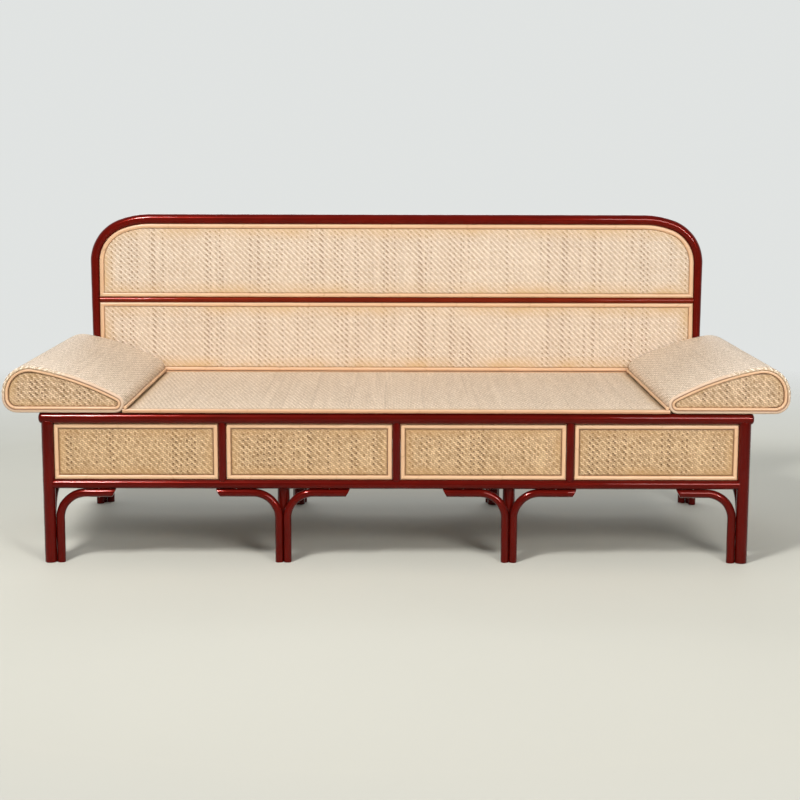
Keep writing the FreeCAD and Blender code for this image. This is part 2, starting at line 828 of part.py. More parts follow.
def teardrop(inset, flip):
    """The arm's outline moved in by an inset, from its outer side. flip mirrors it."""
    nose, heel, tip = get("arm_nose_radius"), get("arm_heel_radius"), get("arm_tip_radius")
    height, width, slope = get("arm_height"), get("arm_width"), get("arm_slope_radius")
    centre_x, centre_z = slope_centre()
    nose_turn = math.degrees(math.atan2(height - nose - centre_z, nose - centre_x))
    tip_turn = math.degrees(math.atan2(tip - centre_z, width - tip - centre_x))
    edges = [
        ("line", heel, inset, width - tip, inset),
        ("arc", width - tip, tip, tip - inset, -90, tip_turn),
        ("arc", centre_x, centre_z, slope - inset, tip_turn, nose_turn),
        ("arc", nose, height - nose, nose - inset, nose_turn, 180),
        ("line", inset, height - nose, inset, heel),
        ("arc", heel, heel, heel - inset, 180, 270),
    ]
    result = []
    for kind, *numbers in edges:
        if kind == "line":
            x1, z1, x2, z2 = numbers
            result.append(line(flip * x1, z1, flip * x2, z2))
        else:
            x, z, radius, start, stop = numbers
            if flip < 0:
                start, stop = 180 - stop, 180 - start
            result.append(arc(flip * x, z, radius, start, stop))
    return result


def arm_slice(name, insets, flip, front, depth, x):
    """A slice of the arm between one outline, or two for a ring, from its front face back."""
    body = new_body(name)
    edges = [edge for inset in insets for edge in teardrop(inset, flip)]
    pad(body, "slice", sketch(body, "outline", "XZ_Plane", edges, f"-({front}) - ({depth})"), depth)
    place(body, x, "0", "deck_z")
    return body


def outer_rim(flip):
    """A test for the edges of the arm's outline on its two end faces."""
    outline = Part.Wire([edge.toShape() for edge in teardrop(0, flip)])
    faces = (-get("arm_front"), get("arm_rear"))
    near = get("arm_edge_radius") / 2

    def wanted(edge):
        spot = edge.valueAt((edge.FirstParameter + edge.LastParameter) / 2)
        on_face = min(abs(edge.CenterOfMass.y - face) for face in faces) < near
        return on_face and outline.distToShape(Part.Vertex(spot.x, spot.z, 0))[0] < near

    return wanted


skin, ring_width = get("arm_skin_thickness"), get("ring_width")
for side, left in sides.items():
    flip = 1 if side == "left" else -1
    x = "-arm_outer" if side == "left" else "arm_outer"
    name = f"{side}_arm_skin"
    body = arm_slice(name, (0, skin), flip, "-arm_front", "arm_front + arm_rear", x)
    doc.recompute()
    round_edges(body, body.Tip, "arm_edge_radius", outer_rim(flip))
    arm_holes = [holes[side, "arm_front"], holes[side, "arm_rear"]]
    keep(name, cut(name, body, arm_holes))
    rings = [
        arm_slice(name + "_front_ring", (skin, skin + ring_width), flip, "ring_recess_depth - arm_front",
                  "ring_thickness", x),
        arm_slice(name + "_rear_ring", (skin, skin + ring_width), flip,
                  "arm_rear - ring_recess_depth - ring_thickness", "ring_thickness", x),
    ]
    group(f"{side}_arm_end_rings", rings)
    panels = [
        arm_slice(name + "_front_end", (skin + ring_width,), flip, "end_recess_depth - arm_front",
                  "end_thickness", x),
        arm_slice(name + "_rear_end", (skin + ring_width,), flip,
                  "arm_rear - end_recess_depth - end_thickness", "end_thickness", x),
    ]
    group(f"{side}_arm_end_panels", panels)
    inner = [
        cut(f"{side}_front_rib", arm_slice(f"{side}_front_rib_slice", (skin + gap,), flip,
            "-rib_front - rib_thickness / 2", "rib_thickness", x), arm_holes),
        cut(f"{side}_rear_rib", arm_slice(f"{side}_rear_rib_slice", (skin + gap,), flip,
            "rib_rear - rib_thickness / 2", "rib_thickness", x), arm_holes),
    ]
    for count, step in enumerate(("0", "spar_spacing")):
        inner.append(pole(
            f"{side}_spar_{count}", "spar_diameter", "rib_front + rib_rear - rib_thickness",
            f"{left}(arm_outer - arm_nose_radius - {step})", "rib_thickness / 2 - rib_front",
            "deck_z + spar_height", "y",
        ))
    group(f"{side}_arm_frame", inner)

# The seam cane lies in the nook under each arm's thin edge
seams = []
reach = "arm_tip_radius + seam_diameter / 2 + glue_gap"
nook = f"sqrt(({reach}) ^ 2 - (arm_tip_radius - mat_thickness - seam_diameter / 2) ^ 2)"
for side, left in sides.items():
    seams.append(pole(
        side + "_seam_cane", "seam_diameter", "arm_front + arm_rear",
        f"{left}(arm_inner + arm_tip_radius - {nook})", "-arm_front",
        "seat_height + seam_diameter / 2", "y",
    ))
group("arm_seam_canes", seams)

doc.recompute()
for thing in doc.Objects:
    if "Invalid" in thing.State or "Error" in thing.State:
        raise RuntimeError(f"{thing.Name} failed: {thing.State}")
os.makedirs("parts", exist_ok=True)
for name, thing in nodes.items():
    shape = thing.Shape
    if shape.isNull() or not shape.isValid() or not shape.Solids:
        raise RuntimeError(f"{name} has no valid solid")
for name, thing in nodes.items():
    thing.Shape.exportStep(f"parts/{name}.step")
whole = Part.makeCompound([thing.Shape for thing in nodes.values()])
print(len(nodes), "sub-parts,", len(whole.Solids), "solids,", whole.BoundBox)
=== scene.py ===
import math
import random

import bmesh
import bpy
import numpy as np
from mathutils import Matrix, Vector


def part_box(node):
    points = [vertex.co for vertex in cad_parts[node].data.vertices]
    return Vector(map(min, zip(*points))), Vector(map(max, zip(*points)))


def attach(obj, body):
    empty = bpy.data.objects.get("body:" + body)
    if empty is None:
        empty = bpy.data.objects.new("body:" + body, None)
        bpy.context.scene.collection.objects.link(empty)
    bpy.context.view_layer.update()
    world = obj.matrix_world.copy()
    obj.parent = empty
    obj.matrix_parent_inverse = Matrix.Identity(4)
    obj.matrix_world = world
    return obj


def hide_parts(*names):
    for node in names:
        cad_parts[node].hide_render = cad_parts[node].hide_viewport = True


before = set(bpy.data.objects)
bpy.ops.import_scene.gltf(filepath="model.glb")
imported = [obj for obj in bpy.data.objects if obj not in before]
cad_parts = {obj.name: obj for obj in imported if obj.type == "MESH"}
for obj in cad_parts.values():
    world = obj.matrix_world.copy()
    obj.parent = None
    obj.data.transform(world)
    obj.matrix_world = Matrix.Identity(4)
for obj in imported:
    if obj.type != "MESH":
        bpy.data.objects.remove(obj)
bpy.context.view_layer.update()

mm = 0.001
print("frame loaded:", len(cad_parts), "nodes")


# Shader maths: a wire is a node's socket, and a sum on wires adds its Math nodes

class Wire:
    def __init__(self, finish, socket):
        self.finish = finish
        self.socket = socket

    def maths(self, operation, *values):
        return self.finish.node("ShaderNodeMath", {"operation": operation}, dict(enumerate(values)))

    def __add__(self, other):
        return self.maths("ADD", self, other)

    def __sub__(self, other):
        return self.maths("SUBTRACT", self, other)

    def __rsub__(self, other):
        return self.maths("SUBTRACT", other, self)

    def __mul__(self, other):
        return self.maths("MULTIPLY", self, other)

    def __truediv__(self, other):
        return self.maths("DIVIDE", self, other)

    def __mod__(self, other):
        return self.maths("FLOORED_MODULO", self, other)

    def __pow__(self, other):
        return self.maths("POWER", self, other)

    def __gt__(self, other):
        return self.maths("GREATER_THAN", self, other)

    def __abs__(self):
        return self.maths("ABSOLUTE", self)

    def __floor__(self):
        return self.maths("FLOOR", self)

    __radd__ = __add__
    __rmul__ = __mul__


class Finish:
    def __init__(self, holder):
        # the holder is a material or the world
        self.holder = holder
        holder.use_nodes = True
        self.tree = holder.node_tree
        self.tree.nodes.clear()

    def node(self, kind, settings=None, inputs=None, output=0):
        made = self.tree.nodes.new(kind)
        for key, value in (settings or {}).items():
            if key == "stops":
                for count, (place, colour) in enumerate(value):
                    stop = made.color_ramp.elements[count]
                    stop.position = place
                    stop.color = colour
            else:
                setattr(made, key, value)
        for key, value in (inputs or {}).items():
            if isinstance(value, Wire):
                self.tree.links.new(value.socket, made.inputs[key])
            else:
                made.inputs[key].default_value = value
        return Wire(self, made.outputs[output]) if len(made.outputs) else None

    def ramp(self, factor, stops):
        return self.node("ShaderNodeValToRGB", {"stops": stops}, {"Fac": factor})

    def blend(self, factor, first, second):
        return self.node("ShaderNodeMix", {"data_type": "RGBA"}, {0: factor, 6: first, 7: second}, output=2)

    def laid(self):
        # metres along and across the piece, from the map that each mesh carries
        spots = self.node("ShaderNodeUVMap", {"uv_map": "run"})
        return [self.node("ShaderNodeSeparateXYZ", None, {0: spots}, output=axis) for axis in (0, 1)]

    def stretched(self, along, across, scales, detail, third=0.0):
        spots = self.node("ShaderNodeCombineXYZ", None, {0: along * scales[0], 1: across * scales[1], 2: third})
        return self.node("ShaderNodeTexNoise", None, {"Vector": spots, "Scale": 1.0, "Detail": detail})

    def cloudy(self, scale, detail):
        # noise through the whole object, for pieces that carry no map
        spots = self.node("ShaderNodeTexCoord", output=3)
        return self.node("ShaderNodeTexNoise", None, {"Vector": spots, "Scale": scale, "Detail": detail})

    def carried(self, name):
        # a number that the mesh carries at each point
        return self.node("ShaderNodeAttribute", {"attribute_name": name}, output=2)

    def rim(self, width):
        # 1 at a piece's own edge, fading to 0 at a width in metres
        return self.node("ShaderNodeClamp", None, {0: 1 - self.carried("rim") / width})

    def chance(self, first, second):
        spots = self.node("ShaderNodeCombineXYZ", None, {0: first, 1: second})
        return self.node("ShaderNodeTexWhiteNoise", {"noise_dimensions": "2D"}, {"Vector": spots})

    def surface(self, inputs, height=None, depth=0.0):
        if height is not None:
            raised = self.node("ShaderNodeBump", None, {"Strength": 1.0, "Distance": depth, "Height": height})
            inputs = {**inputs, "Normal": raised}
        shader = self.node("ShaderNodeBsdfPrincipled", None, inputs)
        self.node("ShaderNodeOutputMaterial", None, {"Surface": shader})
        return self.holder


# Finishes

weave = {
    "pitch": 4.2 * mm,  # one cane strip and the gap beside it
    "depth": 0.5 * mm,
    "fineDepth": 0.8 * mm,  # on the seat and the arms
    "hole": (0.11, 0.05, 0.02, 1),
    "peel": [(0.50, 0.33, 0.21, 1), (0.74, 0.56, 0.42, 1)],  # the smooth cane that binds the arms' edges
    "peelEdgeShade": (0.17, 0.065, 0.025, 1),
}
# cross sets how much lighter the level strips are painted than the uprights, as painted light; strips and floats set
# how far the tones differ between strips and floats of the twill;
# then come the strengths of the painted shade at the tucked ends and in the open holes, marks picks the dark
# uprights, then the painted shade along the edges and its strength, honey and its reach
weaveTones = {
    "backCane": {
        "pale": (0.88, 0.745, 0.605, 1), "deep": (0.51, 0.375, 0.255, 1), "shade": (0.22, 0.125, 0.06, 1),
        "cross": 0.46, "strips": 0.20, "floats": 0.36, "worn": 0.72, "open": 0.30, "marks": 0.80,
        "edgeShade": 3 * mm, "edgeShadeStrength": 0.6, "honey": (0.62, 0.40, 0.19, 1), "reach": 40 * mm,
    },
    "apronCane": {
        "pale": (0.76, 0.535, 0.310, 1), "deep": (0.335, 0.20, 0.086, 1), "shade": (0.12, 0.056, 0.02, 1),
        "cross": 0.36, "strips": 0.26, "floats": 0.66, "worn": 1.0, "open": 0.45, "marks": 0.80,
        "edgeShade": 5.5 * mm, "edgeShadeStrength": 0.9, "honey": (0.47, 0.27, 0.11, 1), "reach": 28 * mm,
    },
    "endCane": {
        "pale": (0.80, 0.585, 0.385, 1), "deep": (0.355, 0.225, 0.115, 1), "shade": (0.12, 0.06, 0.024, 1),
        "cross": 0.40, "strips": 0.26, "floats": 0.70, "worn": 1.0, "open": 0.45, "marks": 0.86,
        "edgeShade": 5.5 * mm, "edgeShadeStrength": 0.9, "honey": (0.50, 0.31, 0.14, 1), "reach": 28 * mm,
    },
    "seatCane": {
        "pale": (1.0, 0.855, 0.70, 1), "deep": (0.62, 0.475, 0.335, 1), "shade": (0.29, 0.18, 0.09, 1),
        "cross": 1.00, "strips": 0.15, "floats": 1.20, "worn": 1.1, "open": 0.46, "marks": 0.94,
        "ridges": 1.1,  # steep second twill line, three strips wide and eleven rows long
        "edgeShade": 14 * mm, "edgeShadeStrength": 0.75, "honey": (0.66, 0.47, 0.27, 1), "reach": 28 * mm,
    },
}


def caneFinish(name):
    # a two-over, two-under twill: its diagonals fall to the right, and the level strips are painted lighter, a
    # painted highlight where they catch the light
    tones = weaveTones[name]
    finish = Finish(bpy.data.materials.new(name))
    u, v = finish.laid()
    across = u / weave["pitch"]
    down = v / weave["pitch"]
    column = math.floor(across)
    row = math.floor(down)
    weftOver = (column + row) % 4 > 1.5
    warpRun = (down + column) % 4
    weftRun = (across + row) % 4 - 2
    side = across - column
    side = side + weftOver * (down - row - side)
    along = (warpRun + weftOver * (weftRun - warpRun)) * 0.5
    edge = abs(side * 2 - 1)
    end = abs(along * 2 - 1)
    strip = column + weftOver * (row + 517 - column)
    warpFloat = math.floor((down + column) * 0.25)
    floatCount = warpFloat + weftOver * (math.floor((across + row) * 0.25) - warpFloat)
    stripTone = finish.chance(strip, 3.0)
    floatTone = finish.chance(strip, floatCount)
    broad = finish.stretched(u, v, (9, 14), 3)
    bands = finish.stretched(u, v, (55, 2.2), 1, 4.0)
    fibre = finish.stretched(side + strip * 3.1, along + floatCount * 1.7, (7, 1.2), 2)
    # painted light: cross makes the level strips lighter and the uprights darker, on top of each strip's and float's
    # own tone
    bright = (weftOver - 0.5) * tones["cross"] + stripTone * tones["strips"] + floatTone * tones["floats"]
    bright = bright + fibre * 0.3 + broad * 0.3 + 0.28 - (tones["strips"] + tones["floats"]) * 0.5
    if "ridges" in tones:
        ridge = abs((across / 3 + down / 11) % 1 - 0.5) * 4 - 1
        bright = bright + ridge * tones["ridges"] * (broad * 1.6 - 0.2)
    base = finish.blend(bright, tones["deep"], tones["pale"])
    # painted shade where the strips tuck under each other, at the float ends and strip edges; the same amount also
    # roughens them
    tuckShade = end ** 3 * 0.55 + edge ** 4 * 0.40 + edge ** 3 * end ** 3 * 0.5
    worn = tuckShade * (bands * 0.9 + 0.55) * (1.25 - weftOver * 0.5) * tones["worn"]
    base = finish.blend(worn, base, tones["shade"])
    # painted shade in the holes at the strips' corners
    hole = (edge * end > 0.60) * (bands + floatTone * 0.5 > 1.12 - tones["open"])
    base = finish.blend(hole * 0.8, base, weave["hole"])
    # some uprights have a dark end at each float
    marked = (finish.chance(column, 7.0) > tones["marks"]) * (bands > 0.46)
    marked = marked * (1 - (abs((column + row) % 4 - 1) > 0.5))
    base = finish.blend(marked * 0.85, base, tones["shade"])
    # old varnish along the frame
    honey = finish.rim(tones["reach"]) * (finish.stretched(u, v, (7, 7), 2, 9.0) * 3.0 - 0.75)
    base = finish.blend(honey * 0.7, base, tones["honey"])
    # painted shade along the panel's edges, where the strips and rings overhang the weave, less along the foot
    base = finish.blend(finish.rim(tones["edgeShade"]) * tones["edgeShadeStrength"], base, tones["shade"])
    height = (1 - edge ** 3) * 0.45 + (1 - end ** 2) * 0.65 + weftOver * 0.35 - hole * 0.4 + fibre * 0.06
    depth = weave["depth"]
    if name == "seatCane":
        smooth = finish.carried("bindingAndShade")
        grain = finish.stretched(u, v, (14, 900), 3)
        peel = finish.blend(grain, *weave["peel"])
        # painted shade along the binding's edge
        peel = finish.blend(finish.rim(tones["edgeShade"]), peel, weave["peelEdgeShade"])
        base = finish.blend(smooth, base, peel)
        height = height * (1 - smooth) + smooth * 0.9
        depth = weave["fineDepth"]
    return finish.surface(
        {"Base Color": base, "Roughness": 0.44 + fibre * 0.14 + worn * 0.2, "Specular IOR Level": 0.3},
        height, depth,
    )


peeled = {
    "pale": (0.80, 0.54, 0.345, 1), "deep": (0.57, 0.325, 0.165, 1), "joint": (0.38, 0.19, 0.08, 1),
    "edge": (0.30, 0.12, 0.045, 1), "under": (0.36, 0.135, 0.065, 1), "length": 0.23, "edgeShadeWidth": 2.2 * mm,
}


def stripFinish():
    # peeled cane, varnished: long grain, faint joints and a gloss
    finish = Finish(bpy.data.materials.new("canePeel"))
    u, v = finish.laid()
    grain = finish.stretched(u, v, (14, 900), 3)
    patch = finish.stretched(u, v, (11, 60), 2, 2.0)
    joint = abs((u + patch * 0.02) / peeled["length"] % 1 - 0.5) * 2
    mark = joint ** 60
    base = finish.blend(grain * 0.55 + patch * 0.5 - 0.05, peeled["deep"], peeled["pale"])
    base = finish.blend(mark * 0.35, base, peeled["joint"])
    # painted shade along the strip's edges, where it meets the weave and its neighbours
    base = finish.blend(finish.rim(peeled["edgeShadeWidth"]) * 0.6, base, peeled["edge"])
    # painted shade and a painted reflection of the red rail towards the foot of the seat's edge strips
    base = finish.blend(finish.carried("bindingAndShade") * 0.78, base, peeled["under"])
    return finish.surface(
        {"Base Color": base, "Roughness": 0.38 + grain * 0.12, "Specular IOR Level": 0.35,
         "Coat Weight": 0.12, "Coat Roughness": 0.15},
        grain - mark * 0.6, 0.15 * mm,
    )


lacquer = {
    "pole": {"red": (0.134, 0.0046, 0.0018, 1), "brown": (0.060, 0.0030, 0.0015, 1)},
    "frame": {"red": (0.102, 0.0032, 0.0014, 1), "brown": (0.046, 0.0022, 0.0012, 1)},
    "slat": {"red": (0.185, 0.0170, 0.0040, 1), "brown": (0.095, 0.0080, 0.0025, 1)},
    "dark": (0.022, 0.0025, 0.0018, 1),
    "sheen": (1.0, 0.07, 0.045, 1),
}


def lacquerFinish(name, tones, hasRun=True):
    # clear red-brown lacquer over rattan: long streaks and broad cloudy patches
    finish = Finish(bpy.data.materials.new(name))
    if hasRun:
        u, v = finish.laid()
        streak = finish.stretched(u, v, (7, 260), 3)
        cloud = finish.stretched(u, v, (9, 30), 2, 5.0)
    else:
        streak = finish.cloudy(90.0, 3.0)
        cloud = finish.cloudy(11.0, 2.0)
    tones = lacquer[tones]
    base = finish.blend(cloud * 1.1 + streak * 0.5 - 0.25, tones["brown"], tones["red"])
    base = finish.blend((streak > 0.62) * 0.28, base, lacquer["dark"])
    return finish.surface(
        {
            "Base Color": base, "Roughness": 0.16 + streak * 0.12, "Specular IOR Level": 0.25,
            "Specular Tint": lacquer["sheen"], "Coat Weight": 0.8 + cloud * 0.2,
            "Coat Roughness": 0.04, "Coat IOR": 1.2,
        },
        streak * 0.5 + cloud, 0.06 * mm,
    )


fasteners = {
    "wood": [(0.3, (0.42, 0.24, 0.11, 1)), (0.7, (0.62, 0.42, 0.23, 1))],
    "zinc": [(0.3, (0.30, 0.29, 0.27, 1)), (0.7, (0.55, 0.54, 0.50, 1))],
}


def woodFinish():
    finish = Finish(bpy.data.materials.new("paleDowel"))
    grain = finish.cloudy(240.0, 3.0)
    base = finish.ramp(grain, fasteners["wood"])
    return finish.surface({"Base Color": base, "Roughness": 0.6}, grain, 0.1 * mm)


def screwFinish():
    finish = Finish(bpy.data.materials.new("zincScrew"))
    grain = finish.cloudy(700.0, 2.0)
    base = finish.ramp(grain, fasteners["zinc"])
    return finish.surface({"Base Color": base, "Metallic": 1.0, "Roughness": 0.25 + grain * 0.25})


finishes = {name: caneFinish(name) for name in weaveTones}
finishes.update({
    "strip": stripFinish(),
    "pole": lacquerFinish("lacqueredPole", "pole"),
    "frame": lacquerFinish("lacqueredFrame", "frame"),
    "slat": lacquerFinish("lacqueredSlat", "slat"),
    "joinery": lacquerFinish("lacqueredJoinery", "frame", False),
    "dowel": woodFinish(),
    "screw": screwFinish(),
})
print("finishes made:", len(finishes))


# Shapes: points, faces and their run coordinates, gathered for one piece

class Shape:
    def __init__(self):
        self.points = []
        self.faces = []
        self.runs = []
        self.rims = []
        self.bindingAndShade = []
        self.count = 0

    def add(self, points, faces, runs, rims=None, bindingAndShade=None):
        # rims are millimetres to the nearest edge, and the other number is 1 where a smooth cane binds the weave,
        # while on the seat's edge strips it grows towards their foot as painted shade and a painted reflection of the
        # red rail
        points = np.asarray(points, float).reshape(-1, 3)
        self.points.append(points)
        self.rims.append(np.full(len(points), 0.05) if rims is None else np.ravel(rims) * mm)
        self.bindingAndShade.append(np.zeros(len(points)) if bindingAndShade is None else np.ravel(bindingAndShade))
        self.faces += [[corner + self.count for corner in face] for face in faces]
        self.runs += [run for face in runs for run in face]
        self.count += len(points)

    def piece(self, name, finish, slot, nodes, sharp=38):
        mesh = bpy.data.meshes.new(name)
        mesh.from_pydata(np.concatenate(self.points).tolist(), [], self.faces)
        layer = mesh.uv_layers.new(name="run")
        layer.uv.foreach_set("vector", np.asarray(self.runs, np.float32).ravel())
        for key, values in (("rim", self.rims), ("bindingAndShade", self.bindingAndShade)):
            carried = mesh.attributes.new(key, "FLOAT", "POINT")
            carried.data.foreach_set("value", np.concatenate(values).astype(np.float32))
        tidy = bmesh.new()
        tidy.from_mesh(mesh)
        bmesh.ops.recalc_face_normals(tidy, faces=tidy.faces)
        tidy.to_mesh(mesh)
        tidy.free()
        mesh.shade_smooth()
        mesh.set_sharp_from_angle(angle=math.radians(sharp))
        mesh.materials.append(finishes[finish])
        made = bpy.data.objects.new(name, mesh)
        bpy.context.scene.collection.objects.link(made)
        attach(made, "root")
        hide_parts(*nodes)


def travelled(points):
    # the way gone at each of a row of points
    return np.concatenate([[0], np.cumsum(np.linalg.norm(np.diff(points, axis=0), axis=1))])


def ringFaces(count, sides, along, around, turned=False):
    # quads between rings of points, with metres along and round for the finish, swapped if turned;
    # one more value along than there are rings joins the last ring to the first
    faces, runs = [], []
    for at in range(len(along) - 1):
        here, then = at * sides, (at + 1) % count * sides
        for side in range(sides):
            after = (side + 1) % sides
            faces.append([here + side, here + after, then + after, then + side])
            run = [(along[at], around[side]), (along[at], around[side + 1]),
                   (along[at + 1], around[side + 1]), (along[at + 1], around[side])]
            runs.append([(second, first) for first, second in run] if turned else run)
    return faces, runs


def skinned(shape, rings, seed=0.0, rims=None, bindingAndShade=None):
    # a closed skin over rings of points
    count, sides = rings.shape[:2]
    along = travelled(rings.mean(1)) * mm + seed
    around = travelled(np.concatenate([rings, rings[:, :1]], 1).mean(0)) * mm
    faces, runs = ringFaces(count, sides, along, around)
    for at in (0, count - 1):
        faces.append([at * sides + side for side in range(sides)])
        runs.append([(along[at], around[side]) for side in range(sides)])
    shape.add(rings * mm, faces, runs, rims, bindingAndShade)


def wavy(spots, size, seed):
    # a slow hand-made wander, the same at each run
    draw = random.Random(seed)
    total = np.zeros_like(spots)
    for step in (1.3, 2.9, 6.1):
        total += math.sin(draw.random() * 6.3) * np.sin(spots * step * (2 + draw.random()) + draw.random() * 6.3)
    return total * size / 2


def tube(shape, path, radii, roundOff=1.5, slant=0.0, wander=0.25, seed=0, sides=32):
    # a round pole along a path in millimetres, its ends eased, its last end cut on a slant if asked
    path = np.asarray(path, float)
    marks = travelled(path)
    length = marks[-1]
    turn = np.linspace(0, math.pi / 2, 5)
    ease = roundOff * (1 - np.cos(turn))
    inner = np.arange(12, length - 12, 24.0)
    corners = marks[(marks > roundOff * 1.5) & (marks < length - roundOff * 1.5)]
    spots = np.unique(np.round(np.concatenate([ease, length - ease, inner, corners]), 3))
    line = np.stack([np.interp(spots, marks, path[:, axis]) for axis in range(3)], 1)
    radii = np.interp(spots, np.linspace(0, length, len(radii)), radii) if np.ndim(radii) else radii + 0 * spots
    near = np.minimum(spots, length - spots)
    dip = np.clip(roundOff - near, 0, roundOff)
    radii = radii - roundOff + np.sqrt(roundOff**2 - dip**2)
    ahead = np.gradient(line, axis=0)
    ahead /= np.linalg.norm(ahead, axis=1)[:, None]
    first = np.array([0.0, 1.0, 0.0]) if abs(ahead[0][1]) < 0.9 else np.array([1.0, 0.0, 0.0])
    sideways = []
    for step in ahead:
        first = first - step * (first @ step)
        first /= np.linalg.norm(first)
        sideways.append(first)
    sideways = np.array(sideways)
    upward = np.cross(ahead, sideways)
    calm = np.clip(near / 40, 0, 1)[:, None]
    line = line + calm * (wavy(spots / 100, wander, seed)[:, None] * sideways)
    line = line + calm * (wavy(spots / 100, wander, seed + 50)[:, None] * upward)
    angles = np.arange(sides) / sides * 2 * math.pi
    rings = line[:, None] + radii[:, None, None] * (
        np.cos(angles)[None, :, None] * sideways[:, None] + np.sin(angles)[None, :, None] * upward[:, None]
    )
    if slant:
        reach = np.clip((spots - length + 3 * slant) / (3 * slant), 0, 1)
        share = (rings[:, :, 2] - line[:, 2][:, None]) / (2 * np.maximum(radii, 0.1)[:, None])
        rings = rings - (slant * reach[:, None] * (0.5 - share))[:, :, None] * ahead[:, None]
    count = len(spots)
    girth = 2 * math.pi * float(np.mean(radii)) / sides * mm
    faces, runs = ringFaces(count, sides, spots * mm + seed, np.arange(sides + 1) * girth)
    for at, spot in ((0, spots[0]), (count - 1, spots[-1])):  # the ends take a small round patch of the finish
        faces.append([at * sides + side for side in range(sides)])
        runs.append([(spot * mm + seed + 4 * mm * math.cos(angle), 4 * mm * math.sin(angle)) for angle in angles])
    shape.add(rings * mm, faces, runs)


def bend(centre, radius, start, stop, plane):
    # points round an arc in degrees, in a plane given by its two axes
    turns = np.radians(np.linspace(start, stop, max(4, int(abs(stop - start) / 4))))
    across, up = np.asarray(plane[0], float), np.asarray(plane[1], float)
    return [np.asarray(centre) + radius * (math.cos(turn) * across + math.sin(turn) * up) for turn in turns]


def placed(points, origin, axes):
    # local along, up and outward millimetres to the frame
    return np.asarray(origin) + np.asarray(points) @ np.asarray(axes, float)


facing = {
    "front": [(1, 0, 0), (0, 0, 1), (0, -1, 0)],
    "rear": [(-1, 0, 0), (0, 0, 1), (0, 1, 0)],
    "left": [(0, -1, 0), (0, 0, 1), (-1, 0, 0)],
    "right": [(0, 1, 0), (0, 0, 1), (1, 0, 0)],
}


# Rails, legs and posts

poles = {
    "topRadius": 15.5, "topZ": 394.5, "topEnd": 956, "poleY": 385, "legX": 933.5,
    "lowerRadius": 12.5, "lowerZ": 215, "legRadius": 16.5, "legTop": 387.5,
    "postX": 305, "postY": 355.7, "postTop": 391, "dividerX": 466.75, "dividerRadius": 11,
    "inset": 8,  # how far a pole's end lies inside the pole that it meets
    "rearLift": 0.3,  # closes the slot under the back's sill
}
sideSigns = {"left": -1, "right": 1}
endSigns = {"front": -1, "rear": 1}


def polePiece(name, node, runs, **settings):
    shape = Shape()
    for count, (path, radius) in enumerate(runs):
        tube(shape, path, radius, seed=len(name) + 7 * count, **settings)
    shape.piece(name, "frame", "lacquered_pole", [node])


for end, back in endSigns.items():
    y = back * poles["poleY"]
    reach, high, low = poles["topEnd"], poles["topZ"], poles["lowerZ"]
    lift = poles["rearLift"] if end == "rear" else 0.0
    runs = [([(-reach, y, high + lift), (reach, y, high + lift)], poles["topRadius"] + lift)]
    polePiece(f"{end}TopRail", f"{end}_top_rail", runs, roundOff=9)
    reach = poles["legX"] - poles["inset"]
    polePiece(f"{end}LowerRail", f"{end}_lower_rail", [([(-reach, y, low), (reach, y, low)], poles["lowerRadius"])])
    uprights = []
    for step in (-1, 0, 1):
        x = step * poles["dividerX"]
        foot, head = low + poles["inset"], high - poles["inset"]
        uprights.append(([(x, y, foot), (x, y, head)], poles["dividerRadius"]))
    polePiece(f"{end}Dividers", f"{end}_dividers", uprights)
    for side, left in sideSigns.items():
        leg = (left * poles["legX"], y, poles["legTop"])
        post = (left * poles["postX"], back * poles["postY"], poles["postTop"])
        for name, node, head in (("Leg", "leg", leg), ("CentrePost", "centre_post", post)):
            path = [head, (head[0], head[1], 0)]
            polePiece(end + side.title() + name, f"{end}_{side}_{node}", [(path, poles["legRadius"])], roundOff=1.6)
for side, left in sideSigns.items():
    x, reach = left * poles["legX"], poles["poleY"] - poles["inset"]
    polePiece(f"{side}TopRail", f"{side}_top_rail", [([(x, -reach, high), (x, reach, high)], poles["topRadius"])])
    polePiece(f"{side}LowerRail", f"{side}_lower_rail", [([(x, -reach, low), (x, reach, low)], poles["lowerRadius"])])
print("rails and legs made")


# Bent braces, each one pole from the floor to under a rail

braces = {
    "corner": {"radius": 11.5, "foot": 28.3, "reach": 151.7, "bend": 70, "top": 190.7},
    "fork": {"radius": 11, "foot": 11.15, "reach": 168.85, "bend": 70, "top": 191.2, "y": 383.5},
    "slant": 11,
}


def bracePath(kind, x, y, step):
    # step is the unit way that the level stretch runs
    size = braces[kind]
    step = np.asarray(step, float)
    foot = np.array([x, y, 0.0])
    turn = foot + step * size["bend"] + np.array([0, 0, size["top"] - size["bend"]])
    tip = foot + step * size["reach"] + np.array([0, 0, size["top"]])
    return [foot, *bend(turn, size["bend"], 180, 90, (step, (0, 0, 1))), tip]


for end, back in endSigns.items():
    for side, left in sideSigns.items():
        label = end + side.title()
        x, y, foot = left * poles["legX"], back * poles["poleY"], braces["corner"]["foot"]
        corner = [bracePath("corner", x - left * foot, y, (-left, 0, 0))]
        inward = [bracePath("corner", x, y - back * foot, (0, -back, 0))]
        pair = []
        for way in (-1, 1):
            x = left * poles["postX"] + way * braces["fork"]["foot"]
            pair.append(bracePath("fork", x, back * braces["fork"]["y"], (way, 0, 0)))
        for name, kind, paths in (("Corner", "corner", corner), ("End", "corner", inward), ("Forked", "fork", pair)):
            polePiece(f"{label}{name}Brace", f"{end}_{side}_{name.lower()}_brace",
                      [(path, braces[kind]["radius"]) for path in paths], slant=braces["slant"], roundOff=1)
print("braces made")


# The hooped back

